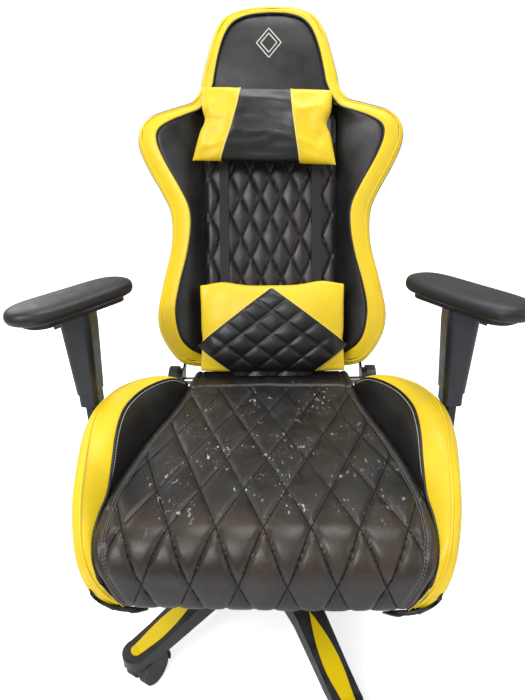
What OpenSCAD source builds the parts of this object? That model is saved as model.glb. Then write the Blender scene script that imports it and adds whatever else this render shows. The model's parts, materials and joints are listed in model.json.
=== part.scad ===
// Racing-style gaming chair on a five-star base with casters.
// +Z is up, the sitter faces -Y, and the origin is on the floor under the swivel axis.
// "Left" is the -X side and "right" the +X side, as seen from the front.

/* [Seat] */
// Height of the cushion's top above the floor, on the swivel axis
seat_h = 407; // [405:1:409]
// Backward slope of the seat
seat_tilt = 3.7; // [3.5:0.1:3.9]
// Height of the side wings above the cushion
wing_rise = 54; // [48:1:58]

/* [Backrest] */
// Lean of the backrest from vertical
back_lean = 26; // [24:1:28]
// Thickness of the side bolsters in front of the centre pad
bolster_rise = 42; // [34:1:44]

/* [Pillows] */
// Width of the head pillow
head_w = 296; // [280:1:300]
// Height of the head pillow
head_h = 158; // [145:1:160]
// Sideways tilt of the head pillow, as it hangs on its strap
head_skew = 3; // [0:1:4]
// Width of the lumbar pillow
lumbar_w = 302; // [290:1:306]
// Height of the lumbar pillow
lumbar_h = 190; // [180:1:192]

/* [Armrests] */
// Distance of each armrest post from the centre line
arm_x = 314; // [314:1:318]
// Height of the pads' top above the seat cushion
arm_h = 241; // [238:1:246]
// Outward turn of the pads
arm_toe = 30; // [20:1:32]
// Length of a pad
pad_l = 246; // [235:1:250]
// Width of a pad
pad_w = 92; // [84:1:96]
// Pad's middle, behind the post
pad_y = -4; // [-8:1:4]

/* [Base] */
// Turn of the star about the swivel axis
spoke_turn = 6; // [0:1:12]
// Diameter of a caster wheel
wheel_d = 58; // [56:1:59]

/* [Hidden] */
$fn = 48;
fit = 0.05;
gap = 0.5;

// Colours
black = "#1d1c1b";
dark = "#2b2d31";
yellow = "#e0ae12";
steel = "#9a9c9e";

// Base and casters
stem_r = 305;
spoke_w = 58;
spoke_end_w = 46;
hub_top = 130;
spoke_end_top = 86;
spoke_end_low = 66;
hub_r = 52;
stem_d = 11;
trail = 20;
tread_w = 20;
hood_gap = 1.5;
// Direction in which each caster trails, from its spoke
caster_turns = [25, 160, 95, 200, 320];

// Gas lift
cylinder_r = 25;
tube_r = 14;
rod_r = 5;
pin_r = 4;
cylinder_low = 45;
cylinder_top = 226;
cover_rs = [28, 32, 36];
cover_wall = 2;

// Tilt mechanism
housing_x = 58;
housing_low = 228;
axle_y = -38;
axle_z = 271;
axle_r = 6;
bolt_y = -115;
lever_z = 269;
lever_x = -69;
spring_l = 48;

// Seat, in its own frame: z = 0 is the cushion's top
pan_z = -107;
plate_t = 5;
tube_z = -95;
frame_r = 10;
rail_x = 150;
seat_front = -303;
seat_rear = 215;
crest_r = 44;
bolt_spots = [[75, -100], [75, 60], [rail_x, 8], [rail_x, 34]];

// Recliner: the hinge axis in the room's frame
hinge_y = 232;
hinge_z = 362;
recliner_x = 196.3;
// The same axis in the seat's frame, as [y, z]
hinge_drop = hinge_z - seat_h;
recliner_pivot = [
    hinge_y * cos(seat_tilt) - hinge_drop * sin(seat_tilt), hinge_y * sin(seat_tilt) + hinge_drop * cos(seat_tilt)
];
lever_pivot = [205, -62];

// Backrest, in its own frame: x across, y towards its rear, z up along it
back_low = 31;
back_top = 800;
pad_half = 140;
neck_z = 600;
core_y = 12;
shell_y = 55;
slot_x = 98;
slot_z = 530;
slot_w = 70;
slot_h = 62;
strap_w = 22;
strap_t = 2;

// Armrests, in the seat's frame
arm_y = 21;
sleeve_l = 171;
pad_t = 26;
pad_plate_t = 10;
sleeve_top = arm_h - pad_t - pad_plate_t;
sleeve_low = sleeve_top - sleeve_l;
post_size = [18, 34];

// ---- Curves -------------------------------------------------------------

// Point between b and c on a smooth curve through a, b, c and d
function curve_point(a, b, c, d, t) =
    0.5 * (2 * b + (c - a) * t + (2 * a - 5 * b + 4 * c - d) * t * t + (3 * b - a - 3 * c + d) * t * t * t);

// Smooth curve through the points p, with n steps from each to the next
function smooth(p, n = 4) = [
    for (i = [0 : len(p) - 2]) for (k = [0 : n - 1])
        curve_point(p[max(i - 1, 0)], p[i], p[i + 1], p[min(i + 2, len(p) - 1)], k / n),
    p[len(p) - 1]
];

// A list turned back to front
function reversed(p) = [for (i = [len(p) - 1 : -1 : 0]) p[i]];

// Half of an outline, given as [position, half width], closed by its mirror image
function both_sides(p) = concat([for (q = p) [q[1], q[0]]], [for (q = reversed(p)) [-q[1], q[0]]]);

// Half width of the backrest at each height along it
back_edge = smooth([
    [31, 150], [42, 190], [60, 213], [96, 232], [140, 238], [215, 222], [272, 208], [325, 204],
    [401, 226], [450, 254], [495, 274], [528, 275], [555, 258], [572, 212], [600, 153],
    [648, 142], [697, 128], [742, 116], [777, 95], [796, 50], [800, 0]
]);
// Half width of the seat's centre pad at each place along it
seat_edge = smooth([[-303, 214], [-260, 223], [-178, 225], [-68, 208], [60, 179], [140, 168], [215, 160]]);
// Outer edge of a seat wing
wing_edge = smooth([[-303, 240], [-290, 247], [-235, 257], [-168, 272], [-93, 287], [-20, 293], [48, 285], [90, 256], [118, 216], [140, 186]]);
// Height of a seat wing as a share of its full rise
wing_shape = smooth([[-303, -0.25], [-296, 0.15], [-280, 0.5], [-240, 0.82], [-150, 1], [0, 1], [70, 0.9], [115, 0.55], [140, 0.1]]);
// Height of a back bolster as a share of its full rise
bolster_shape = smooth([[35, 0.15], [60, 0.55], [110, 0.9], [200, 1], [330, 0.85], [430, 1], [530, 0.9], [570, 0.6], [592, 0.2]]);

// ---- General shapes -----------------------------------------------------

// Closed skin over a row of flat rings that all have the same number of points
module loft(rings) {
    n = len(rings[0]);
    m = len(rings);
    near = [for (i = [0 : n - 1]) i];
    far = [for (i = [n - 1 : -1 : 0]) (m - 1) * n + i];
    sides = [
        for (j = [0 : m - 2]) for (i = [0 : n - 1])
            let (a = j * n + i, b = j * n + (i + 1) % n)
                each [[a, b + n, b], [a, a + n, b + n]]
    ];
    polyhedron(points = [for (r = rings) each r], faces = concat([near, far], sides));
}

// Round bar between two points
module bar(a, b, r) {
    v = b - a;
    translate(a)
        rotate([0, acos(v[2] / norm(v)), atan2(v[1], v[0])])
            cylinder(r = r, h = norm(v));
}

// Rectangle with rounded corners
module round_rect(w, h, r) {
    square([w - 2 * r, h], center = true);
    square([w, h - 2 * r], center = true);
    for (x = [-1, 1]) for (y = [-1, 1])
        translate([x * (w / 2 - r), y * (h / 2 - r)])
            circle(r);
}

// Outline drawn in the y-z plane, as thick as t along +X from x
module side_plate(x, t) {
    translate([x, 0, 0])
        rotate([90, 0, 90])
            linear_extrude(t)
                children();
}

// Outline drawn in the backrest's x-z plane, from depth y0 to y1
module back_slab(y0, y1) {
    translate([0, y1, 0])
        rotate([90, 0, 0])
            linear_extrude(y1 - y0)
                children();
}

// Cushion bulging to thickness t, w wide and h high, standing in the x-z plane
module pillow(w, h, t) {
    steps = [-1, -0.93, -0.8, -0.55, -0.25, 0, 0.25, 0.55, 0.8, 0.93, 1];
    loft([
        for (u = steps)
            let (a = w / 2 * (1 - 0.07 * u * u), b = t / 2 * pow(1.04 - pow(abs(u), 3), 0.4))
                [for (k = [0 : 15 : 345]) [a * power(cos(k), 0.45), b * power(sin(k), 0.7), u * h / 2]]
    ]);
}

// Power of the size of v, with v's sign
function power(v, p) = sign(v) * pow(abs(v), p);

module on_seat() {
    translate([0, 0, seat_h])
        rotate([-seat_tilt, 0, 0])
            children();
}

module on_back() {
    translate([0, hinge_y, hinge_z])
        rotate([-back_lean, 0, 0])
            children();
}

module on_spokes() {
    for (k = [0 : 4])
        rotate([0, 0, spoke_turn + 72 * k])
            children();
}

// Everything on one armrest's pad, turned about its post
module on_pad(side) {
    on_seat()
        translate([side * arm_x, arm_y, sleeve_top])
            rotate([0, 0, side * arm_toe])
                children();
}

module on_caster(k) {
    rotate([0, 0, spoke_turn + 72 * (k - 1)])
        translate([stem_r, 0, 0])
            rotate([0, 0, caster_turns[k - 1]])
                children();
}

// ---- Base ---------------------------------------------------------------

// Side view of a spoke's top, raised by d
function spoke_top(d) = [[0, hub_top + d], [hub_r, hub_top + d], [175, 122 + d], [262, 95 + d], [300, spoke_end_top + d], [345, spoke_end_top + d]];

module spoke_side(d, low) {
    rotate([90, 0, 0])
        linear_extrude(90, center = true)
            polygon(concat(spoke_top(d), low));
}

module spoke_plan(inset, z0, z1) {
    translate([0, 0, z0])
        linear_extrude(z1 - z0) {
            polygon([
                [0, inset - spoke_w / 2], [stem_r, inset - spoke_end_w / 2],
                [stem_r, spoke_end_w / 2 - inset], [0, spoke_w / 2 - inset]
            ]);
            translate([stem_r, 0])
                circle(spoke_end_w / 2 - inset);
        }
}

// Leaf outline of a spoke's insert, grown by d
module leaf(d) {
    polygon(concat(
        [[166 - d, 0]],
        [for (t = [0.15 : 0.1 : 0.85]) [166 + 142 * t, -(d + 15 * sin(150 * t))]],
        [for (k = [-60 : 30 : 60]) [302 + (11 + d) * cos(k), (11 + d) * sin(k)]],
        [for (t = [0.85 : -0.1 : 0.15]) [166 + 142 * t, d + 15 * sin(150 * t)]]
    ));
}

module spoke() {
    difference() {
        intersection() {
            spoke_side(0, [[345, spoke_end_low], [270, spoke_end_low], [160, 88], [hub_r, 70], [0, 70]]);
            spoke_plan(0, 50, 140);
        }
        intersection() {
            rotate([90, 0, 0])
                linear_extrude(90, center = true)
                    polygon([[60, 40], [60, 118], [175, 110], [262, 84], [262, 40]]);
            spoke_plan(6, 30, 150);
        }
        intersection() {
            spoke_side(9, [[345, 82.4], [300, 82.4], [262, 91.4], [175, 118.4], [0, 120]]);
            linear_extrude(200)
                leaf(0.3);
        }
        translate([stem_r, 0, 50])
            cylinder(d = stem_d + 2 * fit, h = 30);
        cylinder(r = hub_r - 5, h = 200);
    }
}

module base_star() {
    color(black) {
        on_spokes()
            spoke();
        difference() {
            translate([0, 0, 62])
                cylinder(r = hub_r, h = hub_top - 62 + 2);
            translate([0, 0, 50])
                cylinder(r = cylinder_r + fit, h = 100);
        }
    }
}

module spoke_inserts() {
    color(yellow)
        on_spokes()
            difference() {
                intersection() {
                    spoke_side(1.5, [[345, 60], [0, 60]]);
                    linear_extrude(200)
                        leaf(0);
                }
                spoke_side(-3.4, [[345, 50], [0, 50]]);
            }
}

module caster_stems() {
    color(steel)
        on_spokes()
            translate([stem_r, 0, 0]) {
                translate([0, 0, 55.5])
                    cylinder(d = stem_d, h = 24.5);
                translate([0, 0, 64])
                    cylinder(r = 9, h = spoke_end_low - 64);
            }
}

// Stem socket at the origin, axle behind it at the wheels' centre
module caster_hood(k) {
    axle = wheel_d / 2;
    shell = axle + hood_gap;
    half = tread_w + 5;
    color(black)
        on_caster(k)
            difference() {
                union() {
                    translate([0, 0, 41])
                        cylinder(r = 10.5, h = 22.5);
                    translate([trail, 3.5, axle])
                        rotate([90, 0, 0])
                            cylinder(r = shell, h = 7);
                    translate([trail, half, axle])
                        rotate([90, 0, 0])
                            difference() {
                                cylinder(r = shell + 3, h = 2 * half);
                                translate([0, 0, -1])
                                    cylinder(r = shell - 0.1, h = 2 * half + 2);
                            }
                }
                difference() {
                    translate([trail, 0, 0])
                        rotate([0, 20, 0])
                            translate([-60, -50, -60])
                                cube([120, 100, 60 + axle * 0.95]);
                    translate([trail, 0, axle])
                        rotate([90, 0, 0])
                            cylinder(r = 8, h = 60, center = true);
                }
                for (side = [-1, 1])
                    translate([trail, side * (3.5 + 10.6), axle])
                        rotate([90, 0, 0])
                            cylinder(r = axle + 0.8, h = 21.2, center = true);
                translate([0, 0, 30])
                    cylinder(d = stem_d + 2 * fit, h = 40);
                translate([trail, 0, axle])
                    rotate([90, 0, 0])
                        cylinder(r = 3 + fit, h = 30, center = true);
            }
}

// Twin wheels, pressed on one axle
module caster_wheels(k) {
    axle = wheel_d / 2;
    color(dark)
        on_caster(k)
            translate([trail, 0, axle])
                rotate([90, 0, 0]) {
                    cylinder(r = 3, h = 30, center = true);
                    for (side = [-1, 1])
                        translate([0, 0, side * (4.5 + tread_w / 2)])
                            rotate_extrude()
                                polygon([
                                    [0, -tread_w / 2], [axle - 2, -tread_w / 2], [axle, 2 - tread_w / 2],
                                    [axle, tread_w / 2 - 2], [axle - 2, tread_w / 2], [0, tread_w / 2]
                                ]);
                }
}

// ---- Gas lift -----------------------------------------------------------

module lift_cylinder() {
    color(black)
        rotate_extrude()
            polygon([
                [rod_r + 3, cylinder_low], [cylinder_r, cylinder_low], [cylinder_r, cylinder_top],
                [tube_r + fit, cylinder_top], [tube_r + fit, 140], [cylinder_r - 2, 135],
                [cylinder_r - 2, cylinder_low + 3], [rod_r + 3, cylinder_low + 3]
            ]);
}

// Rod held by a clip and a thrust bearing on the outer tube's foot
module lift_piston_rod() {
    color(steel)
        rotate_extrude()
            polygon([
                [0, 40], [rod_r, 40], [rod_r, 48.1], [14, 48.1], [14, 55], [rod_r, 55],
                [rod_r, 168], [tube_r - 2 - fit, 168], [tube_r - 2 - fit, 178], [0, 178]
            ]);
}

module lift_tube() {
    color(steel)
        rotate_extrude()
            polygon([
                [rod_r + fit, 66], [tube_r, 66], [tube_r, 256], [pin_r + fit, 256], [pin_r + fit, 246],
                [tube_r - 2, 246], [tube_r - 2, 76], [rod_r + fit, 76]
            ]);
}

module lift_valve_pin() {
    color(steel)
        rotate_extrude()
            polygon([[0, 238], [7, 238], [7, 242], [pin_r, 243], [pin_r, 263], [3, 264.2], [0, 264.2]]);
}

// One sleeve of the telescopic dust cover, with a rim at its foot
module dust_sleeve(r, low, top) {
    color(black)
        rotate_extrude()
            polygon([
                [r, low], [r + cover_wall + 1, low], [r + cover_wall + 1, low + 4], [r + cover_wall, low + 5],
                [r + cover_wall, top], [r - 1, top], [r - 1, top - 3], [r, top - 4]
            ]);
}

module dust_cover_lower() { dust_sleeve(cover_rs[0], hub_top + 2, 208); }
module dust_cover_middle() { dust_sleeve(cover_rs[1], 144, 216); }
module dust_cover_upper() { dust_sleeve(cover_rs[2], 154, housing_low); }

// ---- Tilt mechanism -----------------------------------------------------

module housing_side(d) {
    polygon([
        [-130 + d, housing_low + d], [-130 + d, 254], [-62, 280], [-18, 280], [52 - d, 258], [52 - d, housing_low + d]
    ]);
}

module mechanism_housing() {
    color(dark)
        difference() {
            union() {
                difference() {
                    side_plate(-housing_x, 2 * housing_x)
                        housing_side(0);
                    side_plate(-housing_x + 3, 2 * housing_x - 6)
                        union() {
                            housing_side(4);
                            translate([-126, 250])
                                square([174, 60]);
                        }
                    translate([-70, -7, lever_z - 7])
                        cube([20, 14, 60]);
                }
                translate([0, 0, housing_low])
                    cylinder(r = 24, h = 24);
                for (y = [-14, 11])
                    translate([-78, y, lever_z - 8])
                        cube([20, 3, 14]);
            }
            translate([0, 0, housing_low - 1])
                cylinder(r = tube_r + fit, h = 40);
            translate([0, axle_y, axle_z])
                rotate([0, 90, 0])
                    cylinder(r = axle_r + fit, h = 160, center = true);
            translate([lever_x, 0, lever_z])
                rotate([90, 0, 0])
                    cylinder(r = 3 + fit, h = 40, center = true);
            translate([-7, bolt_y - 19, housing_low - 1])
                cube([14, 26, 30]);
        }
}

module tilt_axle() {
    color(steel)
        translate([0, axle_y, axle_z])
            rotate([0, 90, 0])
                cylinder(r = axle_r, h = 142, center = true);
}

// Coil between the housing and the knob
module tension_spring() {
    turns = 6;
    coil_r = 15;
    wire_r = 2;
    low = housing_low - spring_l + wire_r;
    pitch = (spring_l - 2 * wire_r) / turns;
    color(steel)
        translate([0, bolt_y, low])
            loft([
                for (a = [0 : 24 : 360 * turns])
                    [for (k = [0 : 60 : 300])
                        let (r = coil_r + wire_r * cos(k))
                            [r * cos(a), r * sin(a), pitch * a / 360 + wire_r * sin(k)]]
            ]);
}

module tension_bolt() {
    color(steel)
        translate([0, bolt_y, 0])
            difference() {
                translate([0, 0, 151])
                    cylinder(r = 5, h = 160);
                translate([-20, -20 - bolt_y, 0])
                    on_seat()
                        translate([-20, bolt_y - 40, pan_z - plate_t])
                            cube([80, 80, 40]);
            }
}

module tension_knob() {
    low = housing_low - spring_l - 34;
    color(black)
        translate([0, bolt_y, low])
            difference() {
                union() {
                    cylinder(r = 23, h = 26);
                    translate([0, 0, 25])
                        cylinder(r = 19, h = 9);
                }
                translate([0, 0, 4])
                    cylinder(r = 5 + fit, h = 40);
                for (a = [0 : 30 : 330])
                    rotate([0, 0, a])
                        translate([25, 0, -1])
                            cylinder(r = 4, h = 28, $fn = 24);
            }
}

module lever_bush() {
    color(black)
        translate([lever_x, 0, lever_z])
            difference() {
                union() {
                    rotate([0, 90, 0])
                        cylinder(r = 8, h = 16, center = true);
                    rotate([90, 0, 0])
                        cylinder(r = 3, h = 28, center = true);
                }
                rotate([0, 90, 0])
                    cylinder(r = 4 + fit, h = 30, center = true);
            }
}

module lift_lever() {
    color(steel) {
        bar([-113, 0, lever_z], [10, 0, lever_z], 4);
        bar([-262, 0, lever_z - 20], [-110, 0, lever_z], 4);
    }
}

module lift_lever_grip() {
    color(black)
        translate([-272, 0, lever_z - 21])
            difference() {
                rotate([0, 0, 90])
                    linear_extrude(9, center = true)
                        round_rect(26, 74, 9);
                translate([-1, 0, -0.5])
                    rotate([0, 90 - 7.5, 0])
                        cylinder(r = 4.3, h = 60);
            }
}

// ---- Seat ---------------------------------------------------------------

// Bolt-downs of the seat plate and the armrest brackets, both sides
module at_bolts() {
    for (p = bolt_spots) for (side = [-1, 1])
        translate([side * p[0], p[1], pan_z])
            children();
}

module seat_plate() {
    color(dark)
        difference() {
            on_seat() {
                translate([-100, -135, pan_z - plate_t])
                    cube([200, 225, plate_t]);
                for (side = [-1, 1])
                    translate([side * 66 - 2.5, -58, pan_z - 38])
                        cube([5, 32, 38]);
            }
            translate([0, axle_y, axle_z])
                rotate([0, 90, 0])
                    cylinder(r = axle_r + fit, h = 160, center = true);
            on_seat()
                at_bolts()
                    translate([0, 0, -20])
                        cylinder(r = 4.1, h = 30);
        }
}

module seat_frame() {
    color(dark)
        on_seat()
            difference() {
                union() {
                    for (side = [-1, 1])
                        bar([side * rail_x, -240, tube_z], [side * rail_x, 200, tube_z], frame_r);
                    for (side = [-1, 1])
                        translate([side * rail_x, -240, tube_z])
                            sphere(r = frame_r);
                    bar([-rail_x, -240, tube_z], [rail_x, -240, tube_z], frame_r);
                    bar([-recliner_x, 200, tube_z], [recliner_x, 200, tube_z], frame_r);
                    for (y = [-115, 45])
                        translate([-rail_x, y, pan_z])
                            cube([2 * rail_x, 30, 5]);
                    for (side = [-1, 1])
                        translate([side * rail_x - 14, -10, pan_z])
                            cube([28, 62, 5]);
                }
                at_bolts()
                    translate([0, 0, -20])
                        cylinder(r = 4.1, h = 60);
            }
}

module seat_webbing() {
    color(black)
        on_seat()
            for (y = [-205 : 76 : 175])
                translate([-rail_x - 6, y - 22, tube_z + frame_r])
                    cube([2 * rail_x + 12, 44, 2.5]);
}

module seat_cushion() {
    color(black)
        on_seat()
            difference() {
                intersection() {
                    translate([0, 0, pan_z])
                        linear_extrude(-pan_z)
                            polygon(both_sides(seat_edge));
                    side_plate(-300, 600)
                        union() {
                            translate([seat_front + crest_r, pan_z])
                                square([seat_rear - seat_front - crest_r, -pan_z]);
                            translate([seat_front, pan_z])
                                square([crest_r + 1, -pan_z - crest_r]);
                            translate([seat_front + crest_r, -crest_r])
                                circle(crest_r);
                        }
                }
                translate([-170, -262, pan_z - 1])
                    cube([340, 447, 28]);
                translate([-250, 180, pan_z - 1])
                    cube([500, 60, 28]);
            }
}

// Ring of a wing at y, from the pad's edge xi out to xo and up to h
function wing_ring(y, xi, xo, h) = let (w = xo - xi, low = pan_z + 3) [
    for (p = [
        [xi, low], [xi, -1], [xi + 0.1 * w, 0.5 * h], [xi + 0.28 * w, 0.86 * h], [xi + 0.5 * w, h],
        [xi + 0.72 * w, 0.93 * h], [xi + 0.9 * w, 0.66 * h], [xo, 0.2 * h - 5], [xo - 3, -34],
        [xo - 0.08 * w - 4, -70], [xo - 0.25 * w, low]
    ]) [p[0], y, p[1]]
];

module seat_wing() {
    ys = [-303, -297, -288, -272, -260, -235, -210, -178, -150, -120, -68, -30, 15, 60, 80, 102, 120, 132, 140];
    color(yellow)
        loft([
            for (y = ys)
                wing_ring(y, lookup(y, seat_edge) + gap, lookup(y, wing_edge), wing_rise * lookup(y, wing_shape))
        ]);
}

module seat_wing_left() {
    on_seat()
        mirror([1, 0, 0])
            seat_wing();
}

module seat_wing_right() {
    on_seat()
        seat_wing();
}

module mounting_bolts() {
    color(steel)
        on_seat()
            at_bolts() {
                translate([0, 0, -plate_t - 5])
                    cylinder(r = 6.5, h = 5);
                translate([0, 0, -plate_t - 1])
                    cylinder(r = 4, h = plate_t + 14);
            }
}

// ---- Recliner -----------------------------------------------------------

module recliner_side() {
    difference() {
        union() {
            polygon([[160, -106], [212, -106], [262, -36], [258, -20], [220, -6], [160, -70]]);
            translate(recliner_pivot)
                circle(28);
        }
        translate(recliner_pivot)
            circle(8 + fit);
        translate(lever_pivot)
            circle(5 + fit);
    }
}

module recliner_plates() {
    color(dark)
        on_seat() {
            side_plate(recliner_x, plate_t)
                recliner_side();
            side_plate(-recliner_x - plate_t, plate_t)
                recliner_side();
        }
}

module recliner_shaft() {
    color(steel)
        translate([0, hinge_y, hinge_z])
            rotate([0, 90, 0])
                cylinder(r = 8, h = 2 * recliner_x + 2 * plate_t + 8, center = true);
}

module recliner_cover_side() {
    translate(recliner_pivot)
        circle(33);
    polygon([[182, -66], [192, -86], [214, -88], [262, -50], [246, 0], [216, -3]]);
    translate([205, -66])
        circle(23);
}

module recliner_cover() {
    side_plate(recliner_x + plate_t, 19)
        recliner_cover_side();
}

module recliner_covers() {
    color(black)
        difference() {
            on_seat() {
                recliner_cover();
                mirror([1, 0, 0])
                    recliner_cover();
            }
            translate([0, hinge_y, hinge_z])
                rotate([0, 90, 0])
                    cylinder(r = 9, h = 2 * recliner_x + 2 * plate_t + 12, center = true);
            on_seat()
                translate([-210, lever_pivot[0], lever_pivot[1]])
                    rotate([0, 90, 0])
                        cylinder(r = 5.4, h = 60, center = true);
        }
}

module recline_lever() {
    color(steel)
        on_seat() {
            translate([-228, lever_pivot[0], lever_pivot[1]])
                rotate([0, 90, 0])
                    cylinder(r = 5, h = 33);
            side_plate(-228, 4) {
                translate(lever_pivot)
                    circle(11);
                polygon([[200, -72], [208, -52], [132, -35], [128, -48]]);
            }
        }
}

module recline_lever_grip() {
    color(black)
        on_seat()
            difference() {
                side_plate(-236, 14.6)
                    translate([157, -46])
                        rotate([0, 0, -12])
                            round_rect(66, 26, 9);
                side_plate(-228.2, 4.4)
                    polygon([[201, -73], [209, -51], [131, -34], [127, -49]]);
            }
}

// ---- Backrest -----------------------------------------------------------

module back_outline() {
    polygon(both_sides(back_edge));
}

// The two harness openings, grown by d
module harness_slots(d) {
    for (side = [-1, 1])
        translate([side * slot_x, slot_z])
            round_rect(slot_w + 2 * d, slot_h + 2 * d, 14 + d);
}

module back_plate_side() {
    difference() {
        union() {
            circle(25);
            polygon([[-14, 18], [22, 8], [40, 60], [40, 170], [19, 170], [19, 40], [13, 31]]);
        }
        circle(8 + fit);
    }
}

module back_plates() {
    color(dark)
        on_back() {
            side_plate(191.3, 4.5)
                back_plate_side();
            side_plate(-195.8, 4.5)
                back_plate_side();
        }
}

// Square-section frame, bent to the shape of the back, with elastic bands across it
module back_frame() {
    depth = 20;
    tube = 20;
    outer = [[50, 191], [538, 191], [606, 136], [765, 84]];
    inner = [[70, 171], [530, 171], [600, 118], [745, 64]];
    color(dark)
        on_back() {
            back_slab(depth, depth + tube)
                difference() {
                    polygon(both_sides(outer));
                    polygon(both_sides(inner));
                }
            for (z = [290, 440])
                translate([-175, depth + 2, z])
                    cube([350, tube - 4, 16]);
            for (z = [100 : 60 : 400])
                translate([-180, depth - 2, z])
                    cube([360, 2, 34]);
        }
}

module back_cushion() {
    low = [[back_low, pad_half], [neck_z - 4, pad_half]];
    head = [for (p = back_edge) if (p[0] >= neck_z) p];
    color(black)
        on_back()
            difference() {
                union() {
                    back_slab(-core_y, core_y)
                        polygon(both_sides(concat(low, head)));
                    back_slab(-core_y - 12, -core_y + 1)
                        intersection() {
                            polygon(both_sides(head));
                            translate([0, 715])
                                square([400, 200], center = true);
                        }
                }
                back_slab(-40, 40)
                    harness_slots(6);
            }
}

// Ring of a bolster at height z, from xi out to xo, h in front of the centre pad
function bolster_ring(z, xi, xo, h) = let (w = xo - xi) [
    for (p = [
        [xi, core_y], [xi, -core_y + 2], [xi + 0.1 * w, -core_y - 0.35 * h], [xi + 0.3 * w, -core_y - 0.8 * h],
        [xi + 0.52 * w, -core_y - h], [xi + 0.75 * w, -core_y - 0.93 * h], [xi + 0.93 * w, -core_y - 0.55 * h],
        [xo, -core_y], [xo, core_y]
    ]) [p[0], p[1], z]
];

module back_bolster() {
    zs = [35, 42, 52, 68, 90, 120, 160, 210, 260, 300, 340, 385, 430, 470, 505, 530, 550, 564, 576, 586, 593];
    color(yellow)
        loft([
            for (z = zs)
                bolster_ring(z, pad_half + gap, lookup(z, back_edge), bolster_rise * lookup(z, bolster_shape))
        ]);
}

module back_bolster_left() {
    on_back()
        mirror([1, 0, 0])
            back_bolster();
}

module back_bolster_right() {
    on_back()
        back_bolster();
}

module back_rear_cover() {
    wall = 6;
    color(black)
        on_back()
            difference() {
                back_slab(core_y + gap, shell_y)
                    back_outline();
                back_slab(core_y, shell_y - wall)
                    difference() {
                        offset(delta = -wall)
                            back_outline();
                        harness_slots(10);
                    }
                back_slab(core_y - 1, shell_y - wall)
                    for (side = [-1, 1])
                        translate([side * 194, 30])
                            square([18, 100], center = true);
                back_slab(core_y - 1, shell_y + 1)
                    harness_slots(6);
            }
}

module harness_bezels() {
    color(black)
        on_back()
            difference() {
                union() {
                    back_slab(-core_y - 1, shell_y + 1)
                        harness_slots(5.5);
                    back_slab(-core_y - 3, -core_y)
                        harness_slots(7);
                    back_slab(shell_y, shell_y + 3)
                        harness_slots(12);
                }
                back_slab(-core_y - 10, shell_y + 10)
                    harness_slots(0);
            }
}

module head_pillow() {
    color(black)
        on_back()
            translate([0, -57, 525])
                rotate([0, head_skew, 0])
                    pillow(head_w, head_h, 68);
}

module lumbar_pillow() {
    color(yellow)
        on_back()
            translate([4, -62, 22 + lumbar_h / 2])
                pillow(lumbar_w, lumbar_h, 78);
}

// Strap that passes through both harness openings at height z and crosses behind the backrest
module rear_strap(z, front_y, rear_y) {
    for (side = [-1, 1])
        translate([side * slot_x - strap_w / 2, front_y, z - strap_w / 2])
            cube([strap_w, rear_y - front_y, strap_t]);
    translate([-slot_x - strap_w / 2, rear_y - strap_t, z - strap_w / 2])
        cube([2 * slot_x + strap_w, strap_t, strap_w]);
}

module head_strap() {
    color(dark)
        on_back()
            rear_strap(548, -core_y - 9, shell_y + 12);
}

module lumbar_straps() {
    front = -core_y - 7;
    color(dark)
        on_back() {
            rear_strap(519, front, shell_y + 8);
            for (side = [-1, 1])
                translate([side * slot_x - strap_w / 2, front, 60])
                    cube([strap_w, strap_t, 450]);
        }
}

// ---- Armrests -----------------------------------------------------------

module arm_brackets() {
    color(dark)
        on_seat()
            difference() {
                for (side = [-1, 1])
                    scale([side, 1, 1])
                        union() {
                            translate([120, arm_y - 26, pan_z - plate_t])
                                cube([arm_x + 4 - 120, 52, plate_t]);
                            translate([arm_x - 4, arm_y - 26, pan_z - plate_t])
                                cube([8, 52, 60]);
                            translate([arm_x, arm_y, -85])
                                linear_extrude(sleeve_top - 38 + 85)
                                    round_rect(post_size[0], post_size[1], 6);
                        }
                at_bolts()
                    translate([0, 0, -20])
                        cylinder(r = 4.1, h = 30);
            }
}

module arm_sleeve() {
    difference() {
        union() {
            hull() {
                translate([0, 0, sleeve_low + 24])
                    linear_extrude(1)
                        round_rect(37, 46, 9);
                translate([0, 0, sleeve_top - 26])
                    linear_extrude(26)
                        round_rect(50, 58, 12);
            }
            translate([0, 0, sleeve_low])
                linear_extrude(26)
                    round_rect(33, 42, 8);
        }
        translate([0, 0, sleeve_low - 1])
            linear_extrude(sleeve_l - 14)
                round_rect(post_size[0] + 0.6, post_size[1] + 0.6, 6.3);
        translate([20, -9, sleeve_top - 34])
            cube([10, 18, 26]);
        translate([0, 0, sleeve_top - 10])
            cylinder(r = 8 + fit, h = 20);
    }
}

module on_arm(side) {
    on_seat()
        translate([side * arm_x, arm_y, 0])
            scale([side, 1, 1])
                children();
}

module arm_sleeve_left() { color(dark) on_arm(-1) arm_sleeve(); }
module arm_sleeve_right() { color(dark) on_arm(1) arm_sleeve(); }

// Paddle on the sleeve's outer face, hinged at its top
module arm_trigger() {
    translate([24.5, 0, sleeve_top - 11])
        rotate([90, 0, 0])
            linear_extrude(17, center = true) {
                circle(2.6);
                polygon([[-2.6, 0], [-2.6, -22], [2, -22], [2, -14], [16.5, -19.5], [18, -15], [2.6, -9], [2.6, 0]]);
            }
}

module arm_trigger_left() { color(black) on_arm(-1) arm_trigger(); }
module arm_trigger_right() { color(black) on_arm(1) arm_trigger(); }

// Plate that carries a pad, with the pivot it turns on
module arm_pad_plate(side) {
    color(dark)
        on_pad(side) {
            translate([0, 0, 0.3])
                translate([0, pad_y, 0])
                    linear_extrude(pad_plate_t - 0.3)
                        round_rect(60, 190, 26);
            translate([0, 0, -9])
                cylinder(r = 8, h = 10);
        }
}

module arm_pad_plate_left() { arm_pad_plate(-1); }
module arm_pad_plate_right() { arm_pad_plate(1); }

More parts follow.
